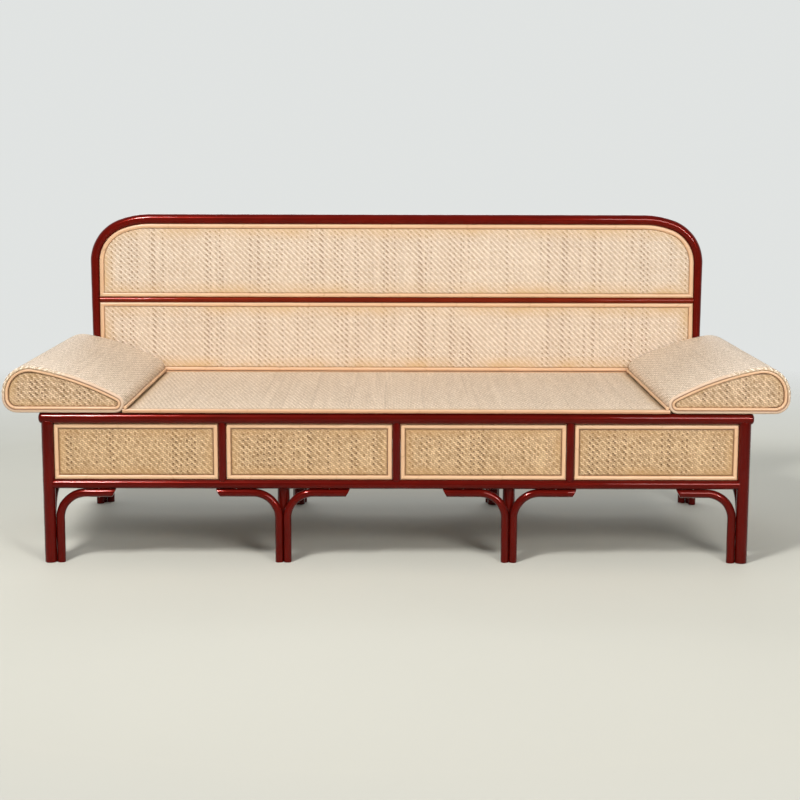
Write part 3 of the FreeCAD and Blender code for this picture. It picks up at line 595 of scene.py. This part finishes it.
hoop = {
    "x": 936, "y": 385, "footZ": 396, "crownZ": 892, "shoulderX": 811, "shoulderZ": 758.26,
    "crownX": 766.05, "crownCentreZ": 647, "shoulderBend": 125, "crownBend": 245, "turn": 68,
    "radii": {"foot": 12, "shoulder": 14, "crown": 16}, "gap": 0.3,
}


def hoopLine(inset, lowZ):
    # x and z up the right side and over to the middle, inset from the pole's inner face, or on its centre line
    edge = 0 if inset is None else hoop["radii"]["crown"] + hoop["gap"] + inset
    foot = 0 if inset is None else hoop["radii"]["foot"] + hoop["gap"] + inset
    sideX, lowX = hoop["x"] - edge, hoop["x"] - foot
    share = (lowZ - poles["topZ"]) / (hoop["shoulderZ"] - poles["topZ"])
    flat = ((1, 0), (0, 1))
    side = bend((hoop["shoulderX"], hoop["shoulderZ"]), hoop["shoulderBend"] - edge, 0, hoop["turn"], flat)
    crown = bend((hoop["crownX"], hoop["crownCentreZ"]), hoop["crownBend"] - edge, hoop["turn"], 90, flat)
    return [(lowX + (sideX - lowX) * share, lowZ), *side, *crown[1:]]


def overTop(half):
    # the same line up the left side and down the right
    return [(-x, z) for x, z in half] + [(x, z) for x, z in reversed(half)]


half = hoopLine(None, hoop["footZ"])
path = [(x, hoop["y"], z) for x, z in overTop(half)]
marks = travelled(np.array(path))
rise = hoop["shoulderZ"] - hoop["footZ"]
arc = marks[len(half) - 1]
stops = [0, rise, arc, marks[-1] - arc, marks[-1] - rise, marks[-1]]
sizes = [hoop["radii"][key] for key in ("foot", "shoulder", "crown", "crown", "shoulder", "foot")]
radii = np.interp(np.linspace(0, marks[-1], 400), stops, sizes)
shape = Shape()
tube(shape, path, radii, seed=3, wander=0.2, sides=40)
shape.piece("backHoop", "pole", "lacquered_pole", ["back_hoop"])

middleRail = {"z": 643, "half": 9, "depth": 10, "rear": 382, "reach": 923}
shape = Shape()
turns = np.linspace(0, math.pi, 15)
profile = np.stack([np.cos(turns) * middleRail["half"], np.sin(turns) * middleRail["depth"]], 1)
spots = np.linspace(-middleRail["reach"], middleRail["reach"], 90)
drift = wavy(spots / 200, 0.25, 11)
swell = 1 + wavy(spots / 200, 0.02, 12)
rings = np.stack([
    np.repeat(spots[:, None], len(turns), 1),
    middleRail["rear"] - profile[None, :, 1] * swell[:, None],
    middleRail["z"] + drift[:, None] + profile[None, :, 0] * swell[:, None],
], 2)
skinned(shape, rings)
shape.piece("backMiddleRail", "slat", "lacquered_pole", ["back_middle_rail"])
print("hooped back made")


# Flat cane strips: a rounded profile between an outer and an inner edge

strips = {"width": 12, "roundness": 4.2, "crown": 0.5, "wander": 0.35}


def ribbon(shape, outer, inner, stand, seed):
    # outer and inner are matching points along the strip, and stand says how far out its face is, how thick it
    # is, and its origin and axes
    front, thickness, origin, axes = stand
    outer, inner = np.asarray(outer, float), np.asarray(inner, float)
    width = strips["width"]
    shares, heights = [0.0], [thickness]
    for turn in np.linspace(0, math.pi / 2, 5):
        shares.append(strips["roundness"] * (1 - math.cos(turn)) / width)
        heights.append(strips["roundness"] * (1 - math.sin(turn)))
    shares += [0.5]
    heights += [-strips["crown"]]
    shares += [1 - share for share in reversed(shares[:-1])]
    heights += list(reversed(heights[:-1]))
    shares, heights = np.array(shares), np.array(heights)
    marks = travelled(outer)
    bow = wavy(marks / 100, strips["wander"], seed) * np.clip(np.minimum(marks, marks[-1] - marks) / 30, 0, 1)
    ways = (inner - outer) / np.linalg.norm(inner - outer, axis=1)[:, None]
    flat = outer[:, None] + shares[None, :, None] * (inner - outer)[:, None]
    loose = np.where((shares > 0.3), 1.0, 0.0)[None, :, None]  # the outer edge stays against its pole
    flat = flat + loose * bow[:, None, None] * ways[:, None]
    depth = np.broadcast_to(front - heights[None, :], flat.shape[:2])
    rings = np.concatenate([flat, depth[:, :, None]], 2)
    rims = np.broadcast_to(np.minimum(shares, 1 - shares) * width, depth.shape)
    skinned(shape, placed(rings, origin, axes), seed=seed * 0.37, rims=rims)


def divided(first, last, count):
    # evenly spaced points from one corner to the next
    first, last = np.asarray(first, float), np.asarray(last, float)
    return first + (last - first) * np.linspace(0, 1, count)[:, None]


def matched(outer, inner, step=18.0):
    # points along the outer of two edges, a step apart or less, and as many along the inner
    span = np.linalg.norm(np.asarray(outer[1], float) - np.asarray(outer[0], float))
    count = max(2, int(span / step) + 1)
    return divided(*outer, count), divided(*inner, count)


def mitredStrips(shape, outer, inner, stand, seed):
    # four strips from corner to corner round an opening
    for count in range(4):
        after = (count + 1) % 4
        edges = matched((outer[count], outer[after]), (inner[count], inner[after]))
        ribbon(shape, *edges, stand, seed + count)


# Woven panels: a slab whose face carries the twill's own relief

panels = {
    "grid": weave["pitch"] / mm / 2, "coarse": 16.0, "margin": 0.7, "relief": 0.55, "fade": 4, "thickness": 6,
    "sink": 0.3, "lip": 1.2,  # how far the face lies under its place, and its very edge under that
}


def twillHeight(u, v):
    # the same two-over, two-under weave as the finish, in millimetres
    pitch = weave["pitch"] / mm
    across, down = u / pitch, v / pitch
    column, row = np.floor(across), np.floor(down)
    weftOver = (column + row) % 4 > 1.5
    along = np.where(weftOver, (across + row) % 4 - 2, (down + column) % 4) / 2
    side = np.where(weftOver, down - row, across - column)
    return (1 - (2 * along - 1) ** 2) * 0.6 + (1 - abs(2 * side - 1) ** 2) * 0.2 + weftOver * 0.3 - 0.65


def gridLines(low, high, relief):
    # lines of the weave's grid from low to high, with none close to either
    step = panels["grid"] if relief else panels["coarse"]
    offset = step / 2 if relief else 0
    lines = np.arange(math.ceil((low + panels["margin"]) / step) * step + offset, high - panels["margin"], step)
    return np.concatenate([[low], lines, [high]])


def slab(shape, rows, leftEdge, rightEdge, stand, relief=True, crown=0.8, flip=1, sill=0):
    # rows are heights, leftEdge and rightEdge give the outline at a height, and stand is as for a ribbon;
    # flip turns the twill over, and sill is how much of the painted edge shade along the foot is left out, as the
    # light from above reaches it
    front, thickness, origin, axes = stand
    low, high = rows
    heights = gridLines(low, high, relief)
    first = min(leftEdge(z) for z in heights)
    last = max(rightEdge(z) for z in heights)
    columns = gridLines(first, last, relief)
    lefts = np.array([leftEdge(z) for z in heights])[:, None]
    rights = np.array([rightEdge(z) for z in heights])[:, None]
    across = np.clip(np.broadcast_to(columns, (len(heights), len(columns))), lefts, rights)
    up = np.broadcast_to(heights[:, None], across.shape)
    border = np.minimum(np.minimum(across - lefts, rights - across), np.minimum(up - low, high - up))
    middle = (1 - ((up - low) / (high - low) * 2 - 1) ** 2) * (1 - ((across - first) / (last - first) * 2 - 1) ** 2)
    out = front + crown * middle * 0.5 - panels["sink"] - panels["lip"] * (border < 0.5)
    if relief:
        fade = np.clip(border / panels["fade"], 0, 1)
        out = out + panels["relief"] * twillHeight(flip * across, up) * fade
    made = bmesh.new()
    spots = np.stack([across, up, out], 2)
    grid = [[made.verts.new(spot) for spot in line] for line in spots]
    for r in range(len(heights) - 1):
        for c in range(len(columns) - 1):
            if across[r, c + 1] - across[r, c] < 1e-6 and across[r + 1, c + 1] - across[r + 1, c] < 1e-6:
                continue
            made.faces.new((grid[r][c], grid[r][c + 1], grid[r + 1][c + 1], grid[r + 1][c]))
    bmesh.ops.remove_doubles(made, verts=made.verts, dist=1e-4)
    loose = [vert for vert in made.verts if not vert.link_faces]
    bmesh.ops.delete(made, geom=loose, context="VERTS")
    rim = [edge for edge in made.edges if edge.is_boundary]
    grown = bmesh.ops.extrude_edge_only(made, edges=rim)["geom"]
    for vert in (item for item in grown if isinstance(item, bmesh.types.BMVert)):
        vert.co.z = front - thickness
    bmesh.ops.edgeloop_fill(made, edges=[item for item in grown if isinstance(item, bmesh.types.BMEdge)])
    made.verts.index_update()
    points = np.array([vert.co[:] for vert in made.verts])
    edges = np.array([[leftEdge(z), rightEdge(z)] for z in points[:, 1]])
    rims = np.minimum(np.minimum(points[:, 0] - edges[:, 0], edges[:, 1] - points[:, 0]),
                      np.minimum(points[:, 1] - low + sill, high - points[:, 1]))
    faces = [[vert.index for vert in face.verts] for face in made.faces]
    runs = [[(flip * points[index][0] * mm, points[index][1] * mm) for index in face] for face in faces]
    made.free()
    shape.add(placed(points, origin, axes) * mm, faces, runs, np.clip(rims, 0, 50))


# Woven apron: bays in the front, the rear and the two ends

apron = {
    "low": 227.8, "high": 378.7, "recess": 3, "half": 5,
    "bays": {
        "far_left": (-916.7, -478.05), "near_left": (-455.45, -11.3),
        "near_right": (11.3, 455.45), "far_right": (478.05, 916.7),
    },
    "endHalf": 368.2,
}


def apronBay(panelShape, stripShape, low, high, origin, axes, seed):
    outer, inner = [
        [(low + inset, apron["low"] + inset), (high - inset, apron["low"] + inset),
         (high - inset, apron["high"] - inset), (low + inset, apron["high"] - inset)]
        for inset in (0, strips["width"])
    ]
    mitredStrips(stripShape, outer, inner, (apron["half"], 2 * apron["half"], origin, axes), seed)
    slab(panelShape, (inner[0][1], inner[2][1]), lambda z: inner[0][0], lambda z: inner[2][0],
         (apron["half"] - apron["recess"], panels["thickness"], origin, axes))


frontStrips, rearStrips, endStrips = Shape(), Shape(), Shape()
rearPanels, endPanels = Shape(), Shape()
for count, (bay, (low, high)) in enumerate(apron["bays"].items()):
    shape = Shape()
    apronBay(shape, frontStrips, low, high, (0, -poles["poleY"], 0), facing["front"], 10 * count + 1)
    label = "".join(word.title() for word in bay.split("_"))
    shape.piece(f"front{label}Weave", "apronCane", "cane_weave", [f"front_{bay}_panel"], sharp=60)
    apronBay(rearPanels, rearStrips, low, high, (0, poles["poleY"], 0), facing["rear"], 10 * count + 60)
for side, left in sideSigns.items():
    origin = (left * poles["legX"], 0, 0)
    apronBay(endPanels, endStrips, -apron["endHalf"], apron["endHalf"], origin, facing[side], 100 + 10 * left)
rearPanels.piece("rearWeave", "apronCane", "cane_weave", ["rear_panels"], sharp=60)
endPanels.piece("endWeave", "apronCane", "cane_weave", ["end_panels"], sharp=60)
frontStrips.piece("frontPanelStrips", "strip", "cane_strip", ["front_panel_strips"])
rearStrips.piece("rearPanelStrips", "strip", "cane_strip", ["rear_panel_strips"])
endStrips.piece("endPanelStrips", "strip", "cane_strip", ["end_panel_strips"])
print("apron made")


# Woven back panels and the strips round them

wovenBack = {
    "front": 373, "rear": 382, "upperLow": 652.3, "lowerHigh": 633.7, "lowerLow": 420.3,
    # how far the strips reach in at the hoop, the middle rail and the sill, so that no light shows between them
    "hoopTuck": 1.8, "railTuck": 0.8, "sillTuck": 0.5,
}
backOrigin = (0, wovenBack["rear"], 0)
backDepth = wovenBack["rear"] - wovenBack["front"]
stripStand = (backDepth, backDepth, backOrigin, facing["front"])
panelStand = (panels["thickness"], panels["thickness"], backOrigin, facing["front"])


def hoopEdge(inset):
    # half the opening's width at a height
    widths, heights = zip(*hoopLine(inset, poles["topZ"]))
    return lambda z: float(np.interp(z, heights, widths))


outside, inside = hoopEdge(-wovenBack["hoopTuck"]), hoopEdge(strips["width"])
width = strips["width"]
stripShape = Shape()
low, up = wovenBack["upperLow"] - wovenBack["railTuck"], wovenBack["upperLow"] + width
outerArch = overTop(hoopLine(-wovenBack["hoopTuck"], low))
innerArch = overTop(hoopLine(width, up))
filledOuter, filledInner = [], []
for count in range(len(outerArch) - 1):
    edge, within = matched(outerArch[count:count + 2], innerArch[count:count + 2], 30)
    filledOuter += list(edge[:-1])
    filledInner += list(within[:-1])
ribbon(stripShape, filledOuter + [outerArch[-1]], filledInner + [innerArch[-1]], stripStand, 201)
foot = matched([(-outside(low), low), (outside(low), low)], [(-inside(up), up), (inside(up), up)])
ribbon(stripShape, *foot, stripStand, 202)
low, high = wovenBack["lowerLow"] - wovenBack["sillTuck"], wovenBack["lowerHigh"] + wovenBack["railTuck"]
up, down = wovenBack["lowerLow"] + width, wovenBack["lowerHigh"] - width
outer = [(-outside(low), low), (outside(low), low), (outside(high), high), (-outside(high), high)]
inner = [(-inside(up), up), (inside(up), up), (inside(down), down), (-inside(down), down)]
mitredStrips(stripShape, outer, inner, stripStand, 203)
stripShape.piece("backStrips", "strip", "cane_strip", ["back_strips"])

crownZ = hoop["crownZ"] - hoop["radii"]["crown"] - hoop["gap"] - width
for name, rows in {"Upper": (wovenBack["upperLow"] + width, crownZ), "Lower": (up, down)}.items():
    shape = Shape()
    slab(shape, rows, lambda z: -inside(z), inside, panelStand)
    shape.piece(f"back{name}Weave", "backCane", "cane_weave", [f"back_{name.lower()}_panel"], sharp=60)
print("back panels made")


# Seat mat and its edge strips

seat = {
    "half": 729.7, "top": 714.5, "ledge": 414, "front": -388.5, "rear": 360.7, "low": 410, "high": 420,
    "stripFront": -400.5, "stripRear": 372.7, "split": 0.2, "hollow": 1.2, "bulge": 2.5, "shadeFrom": 5.8,
}
shape = Shape()
level = ((0, 0, 0), [(1, 0, 0), (0, 1, 0), (0, 0, 1)])
slab(shape, (seat["front"], seat["rear"]), lambda z: -seat["top"], lambda z: seat["top"],
     (seat["high"], seat["high"] - seat["low"], *level), relief=False, crown=-seat["hollow"])
edge = seat["top"] + seat["split"]
for low, high in ((-seat["half"], -edge), (edge, seat["half"])):  # ledges under the canes
    slab(shape, (seat["front"], seat["rear"]), lambda z: low, lambda z: high,
         (seat["ledge"], seat["ledge"] - seat["low"], *level), relief=False, crown=0)
shape.piece("seatWeave", "seatCane", "fine_cane_weave", ["seat_mat"], sharp=60)
shape = Shape()
for edge, face, out in ((seat["front"], seat["stripFront"], -1), (seat["rear"], seat["stripRear"], 1)):
    turns = np.linspace(-math.pi / 2, math.pi / 2, 11)
    height = (seat["high"] - seat["low"]) / 2
    depths = np.cos(turns) ** 0.6 * seat["bulge"] + (abs(face - edge) - seat["bulge"])
    depths = np.concatenate([[0], depths, [0]])
    levels = np.concatenate([[-height], np.sin(turns) * height, [height]])
    spots = np.linspace(-seat["half"], seat["half"], 80)
    drift = wavy(spots / 100, 0.3, 31 + out)
    rings = np.stack([
        np.repeat(spots[:, None], len(depths), 1),
        edge + out * np.repeat(depths[None], len(spots), 0),
        seat["low"] + height + levels[None] + drift[:, None] * 0.5,
    ], 2)
    # painted shade and a painted reflection of the red rail, growing towards the strip's foot
    under = np.clip((seat["shadeFrom"] - levels) / (2 * height), 0, 1)
    skinned(shape, rings, seed=out * 3.1, bindingAndShade=np.repeat(under[None], len(spots), 0))
shape.piece("seatEdgeStrips", "strip", "cane_strip", ["seat_edge_strips"])
print("seat made")


# Armrests: a teardrop outline run from front to rear

arm = {
    "outer": 1050, "width": 325, "height": 127, "nose": 75, "heel": 40, "tip": 25, "slope": 750,
    "low": 410, "front": -401.5, "rear": 368.7, "step": 5.0, "skin": 9, "lipDepth": 7.0, "edgeRound": 6,
    "ring": 8, "ringRecess": 0.9, "ringThickness": 8, "ringRise": 3.2, "ringGirth": 1.3, "ringBite": 0.4,
    "panelDepth": 5.5, "panelThickness": 6, "seamRadius": 4.5, "seamZ": 424.5,
}


def teardrop(inset):
    # points round the arm's outline from the bottom of the tip, x from the outer side in, z from the seat up
    nose = (arm["nose"], arm["height"] - arm["nose"])
    tip = (arm["width"] - arm["tip"], arm["tip"])
    toNose, toTip = arm["slope"] - arm["nose"], arm["slope"] - arm["tip"]
    span = math.hypot(tip[0] - nose[0], tip[1] - nose[1])
    along = (toNose**2 - toTip**2 + span**2) / (2 * span)
    aside = math.sqrt(toNose**2 - along**2)
    unit = ((tip[0] - nose[0]) / span, (tip[1] - nose[1]) / span)
    centre = (nose[0] + along * unit[0] + aside * unit[1], nose[1] + along * unit[1] - aside * unit[0])
    noseTurn = math.degrees(math.atan2(nose[1] - centre[1], nose[0] - centre[0]))
    tipTurn = math.degrees(math.atan2(tip[1] - centre[1], tip[0] - centre[0]))
    points = []

    def arcTo(middle, radius, start, stop):
        count = max(3, int(abs(math.radians(stop - start)) * (radius + inset) / arm["step"]))
        for turn in np.radians(np.linspace(start, stop, count + 1)):
            points.append((middle[0] + radius * math.cos(turn), middle[1] + radius * math.sin(turn)))

    arcTo(tip, arm["tip"] - inset, -90, tipTurn)
    arcTo(centre, arm["slope"] - inset, tipTurn, noseTurn)
    arcTo(nose, arm["nose"] - inset, noseTurn, 180)
    arcTo((arm["heel"], arm["heel"]), arm["heel"] - inset, 180, 270)
    for share in np.linspace(0, 1, 50)[1:-1]:
        points.append((arm["heel"] + (arm["width"] - arm["tip"] - arm["heel"]) * share, inset))
    return np.array([p for count, p in enumerate(points) if count == 0 or math.dist(p, points[count - 1]) > 0.05])


def inwardSteps(outline):
    # unit steps into a closed outline
    behind, ahead = np.roll(outline, 1, 0), np.roll(outline, -1, 0)
    tangent = (ahead - behind) / np.linalg.norm(ahead - behind, axis=1)[:, None]
    return np.stack([-tangent[:, 1], tangent[:, 0]], 1)


def armSkin(side, left):
    # sections are pairs of an inset and a depth, from the front lip to the rear one
    outline = teardrop(0)
    inward = inwardSteps(outline)
    lip, soften = arm["skin"], arm["edgeRound"]
    turns = np.linspace(0, math.pi / 2, 6)
    profile = [(lip, arm["lipDepth"]), (lip, 0.8), (lip - 0.8, 0.15)]
    profile += [(soften * (1 - math.sin(turn)), soften * (1 - math.cos(turn))) for turn in turns]
    length = arm["rear"] - arm["front"]
    body = [(0.0, depth) for depth in np.arange(12, length - 12, 20.0)]
    sections = profile + body + [(inset, length - depth) for inset, depth in reversed(profile)]
    around = travelled(np.concatenate([outline, outline[:1]]))
    rings, rims, bindingAndShade = [], [], []
    level = np.clip((outline[:, 0] * 0.35 - outline[:, 1] + 62) / 20, 0, 1)  # the foot and the outer end are bound
    for inset, depth in sections:
        soft = wavy(around[:-1] / 110 + depth / 170, 0.5, 41 + left) * (1 if 8 < depth < length - 8 else 0.3)
        soft = soft * np.clip(outline[:, 1] / 20, 0, 1)
        flat = outline + inward * (inset + np.clip(soft, -0.2, 1)[:, None])
        x = left * (arm["outer"] - flat[:, 0])
        rings.append(np.stack([x, np.full(len(x), arm["front"] + depth), arm["low"] + flat[:, 1]], 1))
        rims.append(np.full(len(x), (lip - inset) * 4 if inset else 50.0))
        bindingAndShade.append(level if inset else 0 * level)
    rings = np.array(rings)
    count, sides = rings.shape[:2]
    around = around * mm
    faces, runs = ringFaces(count, sides, travelled(sections) * mm, around, turned=True)
    last = (count - 1) * sides
    for spot in range(sides):  # the inside between the two lips closes the skin
        after = (spot + 1) % sides
        faces.append([last + spot, last + after, after, spot])
        runs.append([(around[spot], 0), (around[spot + 1], 0), (around[spot + 1], 0.7), (around[spot], 0.7)])
    shape = Shape()
    shape.add(rings * mm, faces, runs, rims, bindingAndShade)
    shape.piece(f"{side}ArmWeave", "seatCane", "fine_cane_weave", [f"{side}_arm_skin"], sharp=60)


def armEnds(side, left):
    ringShape, panelShape = Shape(), Shape()
    outline = teardrop(arm["skin"] + arm["ring"])
    lows, highs = outline[:, 1].min(), outline[:, 1].max()
    top = int(np.argmax(outline[:, 1]))
    noseSide = np.concatenate([outline[top:], outline[:1]])

    def edgeAlong(part):
        # x at a height on a part of the outline
        part = part[np.argsort(part[:, 1])]
        return lambda z: float(np.interp(z, part[:, 1], part[:, 0]))

    tipEdge, noseEdge = edgeAlong(outline[: top + 1]), edgeAlong(noseSide[noseSide[:, 0] < outline[top][0] + 1])
    for y, out in ((arm["front"], -1), (arm["rear"], 1)):
        axes = [(-left, 0, 0), (0, 0, 1), (0.0, out, 0.0)]
        origin = (left * arm["outer"], y, arm["low"])
        outer = teardrop(arm["skin"] - arm["ringBite"])
        turns = np.linspace(0, math.pi, 11)
        wide = (arm["ring"] + arm["ringBite"]) / 2
        offsets = np.concatenate([[0], wide - wide * np.cos(turns), [2 * wide]])
        foot = [-arm["ringThickness"]]
        heights = np.concatenate([foot, np.sin(turns) ** 0.8 * arm["ringRise"] - arm["ringRise"], foot])
        heights = heights - arm["ringRecess"]
        rings = np.concatenate([
            outer[:, None] + offsets[None, :, None] * inwardSteps(outer)[:, None],
            np.broadcast_to(heights[None, :, None], (len(outer), len(offsets), 1)),
        ], 2)
        marks = travelled(np.concatenate([outer, outer[:1]])) * mm
        girth = np.arange(len(offsets) + 1) * arm["ringGirth"] * mm
        faces, runs = ringFaces(len(outer), len(offsets), marks, girth)
        rims = np.tile(np.minimum(offsets, 2 * wide - offsets) * 0.9, len(outer))
        ringShape.add(placed(rings, origin, axes) * mm, faces, runs, rims)
        slab(panelShape, (lows, highs - 0.4), noseEdge, tipEdge,
             (-arm["panelDepth"], arm["panelThickness"], origin, axes), crown=1.6, flip=-left, sill=3)
    ringShape.piece(f"{side}ArmRings", "strip", "cane_strip", [f"{side}_arm_end_rings"])
    panelShape.piece(f"{side}ArmEndWeave", "endCane", "cane_weave", [f"{side}_arm_end_panels"], sharp=60)


seam = Shape()
for side, left in sideSigns.items():
    armSkin(side, left)
    armEnds(side, left)
    x = left * (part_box("arm_seam_canes")[1][0] / mm - arm["seamRadius"])
    path = [(x, arm["front"], arm["seamZ"]), (x, arm["rear"], arm["seamZ"])]
    tube(seam, path, arm["seamRadius"], seed=5 + left, sides=16)
seam.piece("armSeamCanes", "strip", "cane_strip", ["arm_seam_canes"])
print("armrests made")


# CAD pieces that stay: bearers, stretchers, bars, arm frames, dowels and screws

kept = {
    "joinery": ["seat_bearers", "cross_stretchers", "back_bars", "left_arm_frame", "right_arm_frame"],
    "dowel": ["frame_dowels"],
    "screw": ["brace_screws"],
}
for finish, names in kept.items():
    for name in names:
        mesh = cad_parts[name].data
        mesh.materials.clear()
        mesh.materials.append(finishes[finish])
print("CAD pieces finished")


# Floor, light and camera

room = {
    "floor": (0.64, 0.635, 0.57, 1), "worn": (0.59, 0.59, 0.53, 1), "near": (0.44, 0.435, 0.39, 1),
    "wall": (0.75, 0.77, 0.76, 1), "ceiling": (0.30, 0.31, 0.32, 1), "behind": (0.24, 0.235, 0.225, 1),
    "darken": (0.55, 1.5), "fade": (1.9, 2.2),  # where the floor starts to, and over how many metres
    "lens": 73.49, "sensor": 36, "camera": (0.0, -4.695, 1.10), "pitch": 8.65, "yaw": 0.126, "roll": 0.133,
}
floorFinish = Finish(bpy.data.materials.new("paleFloor"))
floorTone = floorFinish.blend(floorFinish.cloudy(1.3, 3.0), room["floor"], room["worn"])
spots = floorFinish.node("ShaderNodeTexCoord", output=3)
forward = floorFinish.node("ShaderNodeSeparateXYZ", None, {0: spots}, output=1)
# painted shade: the floor is darker towards the camera, where the lamps light it more, so that it reads evenly bright
nearShade = floorFinish.node("ShaderNodeClamp", None, {0: (0 - forward - room["darken"][0]) / room["darken"][1]})
floorTone = floorFinish.blend(nearShade, floorTone, room["near"])
distance = floorFinish.node("ShaderNodeVectorMath", {"operation": "LENGTH"}, {0: spots}, output=1)
fade = floorFinish.node("ShaderNodeClamp", None, {0: (distance - room["fade"][0]) / room["fade"][1]})
floorFinish.surface({"Base Color": floorTone, "Roughness": 0.75, "Specular IOR Level": 0.2, "Alpha": 1 - fade})
floorMesh = bpy.data.meshes.new("floor")
floorMesh.from_pydata([(-8, -8, 0), (8, -8, 0), (8, 8, 0), (-8, 8, 0)], [], [(0, 1, 2, 3)])
floorMesh.materials.append(floorFinish.holder)
floor = bpy.data.objects.new("floor", floorMesh)
bpy.context.scene.collection.objects.link(floor)

world = bpy.data.worlds.new("paleRoom")  # pale walls under a dimmer ceiling
sky = Finish(world)
toward = sky.node("ShaderNodeTexCoord")
depth = sky.node("ShaderNodeSeparateXYZ", None, {0: toward}, output=1)
height = sky.node("ShaderNodeSeparateXYZ", None, {0: toward}, output=2)
shade = sky.ramp(height, [(0.35, room["wall"]), (0.75, room["ceiling"])])
shade = sky.blend(sky.node("ShaderNodeClamp", None, {0: 0.25 - depth * 1.6}), shade, room["behind"])
glow = sky.node("ShaderNodeBackground", None, {"Color": shade, "Strength": 1.0})
sky.node("ShaderNodeOutputWorld", None, {"Surface": glow})
bpy.context.scene.world = world

lights = {
    "leftWindow": {
        "at": (-1.9, -3.2, 4.3), "to": (-0.2, 0, 0.4), "size": (0.9, 1.3),
        "power": 214, "colour": (1.0, 0.985, 0.96),
    },
    "rightWindow": {
        "at": (1.9, -4.3, 2.3), "to": (0.2, 0, 0.4), "size": (1.4, 1.5),
        "power": 130, "colour": (1.0, 0.98, 0.95),
    },
    "leftGlint": {
        "at": (-1.85, -3.2, 4.0), "to": (-0.2, 0, 0.4), "size": (0.6, 0.6),
        "power": 210, "colour": (1.0, 0.99, 0.98), "gloss": True,
    },
    "rightGlint": {
        "at": (2.9, -4.3, 1.75), "to": (0.2, 0, 0.4), "size": (0.5, 0.8),
        "power": 135, "colour": (1.0, 0.99, 0.98), "gloss": True,
    },
    "rear": {
        "at": (0, 3.6, 2.6), "to": (0, 0.2, 0.5), "size": (4.0, 1.6),
        "power": 55, "colour": (0.97, 0.99, 1.0),
    },
}
for name, light in lights.items():
    lamp = bpy.data.lights.new(name, "AREA")
    lamp.shape = "RECTANGLE"
    lamp.size, lamp.size_y = light["size"]
    lamp.energy = light["power"]
    lamp.color = light["colour"]
    made = bpy.data.objects.new(name, lamp)
    made.location = light["at"]
    made.rotation_euler = (Vector(light["to"]) - Vector(light["at"])).to_track_quat("-Z", "Y").to_euler()
    made.visible_diffuse = not light.get("gloss", False)  # the glints only show in the lacquer
    bpy.context.scene.collection.objects.link(made)

view = bpy.data.cameras.new("view")
view.lens = room["lens"]
view.sensor_width = room["sensor"]
camera = bpy.data.objects.new("view", view)
camera.location = room["camera"]
turn = Matrix.Identity(3)
for angle, axis in ((-room["yaw"], "Z"), (90 - room["pitch"], "X"), (room["roll"], "Z")):
    turn = turn @ Matrix.Rotation(math.radians(angle), 3, axis)
camera.rotation_euler = turn.to_euler()
bpy.context.scene.collection.objects.link(camera)
bpy.context.scene.camera = camera
bpy.context.scene.view_settings.view_transform = "Standard"
print("floor, light and camera made")
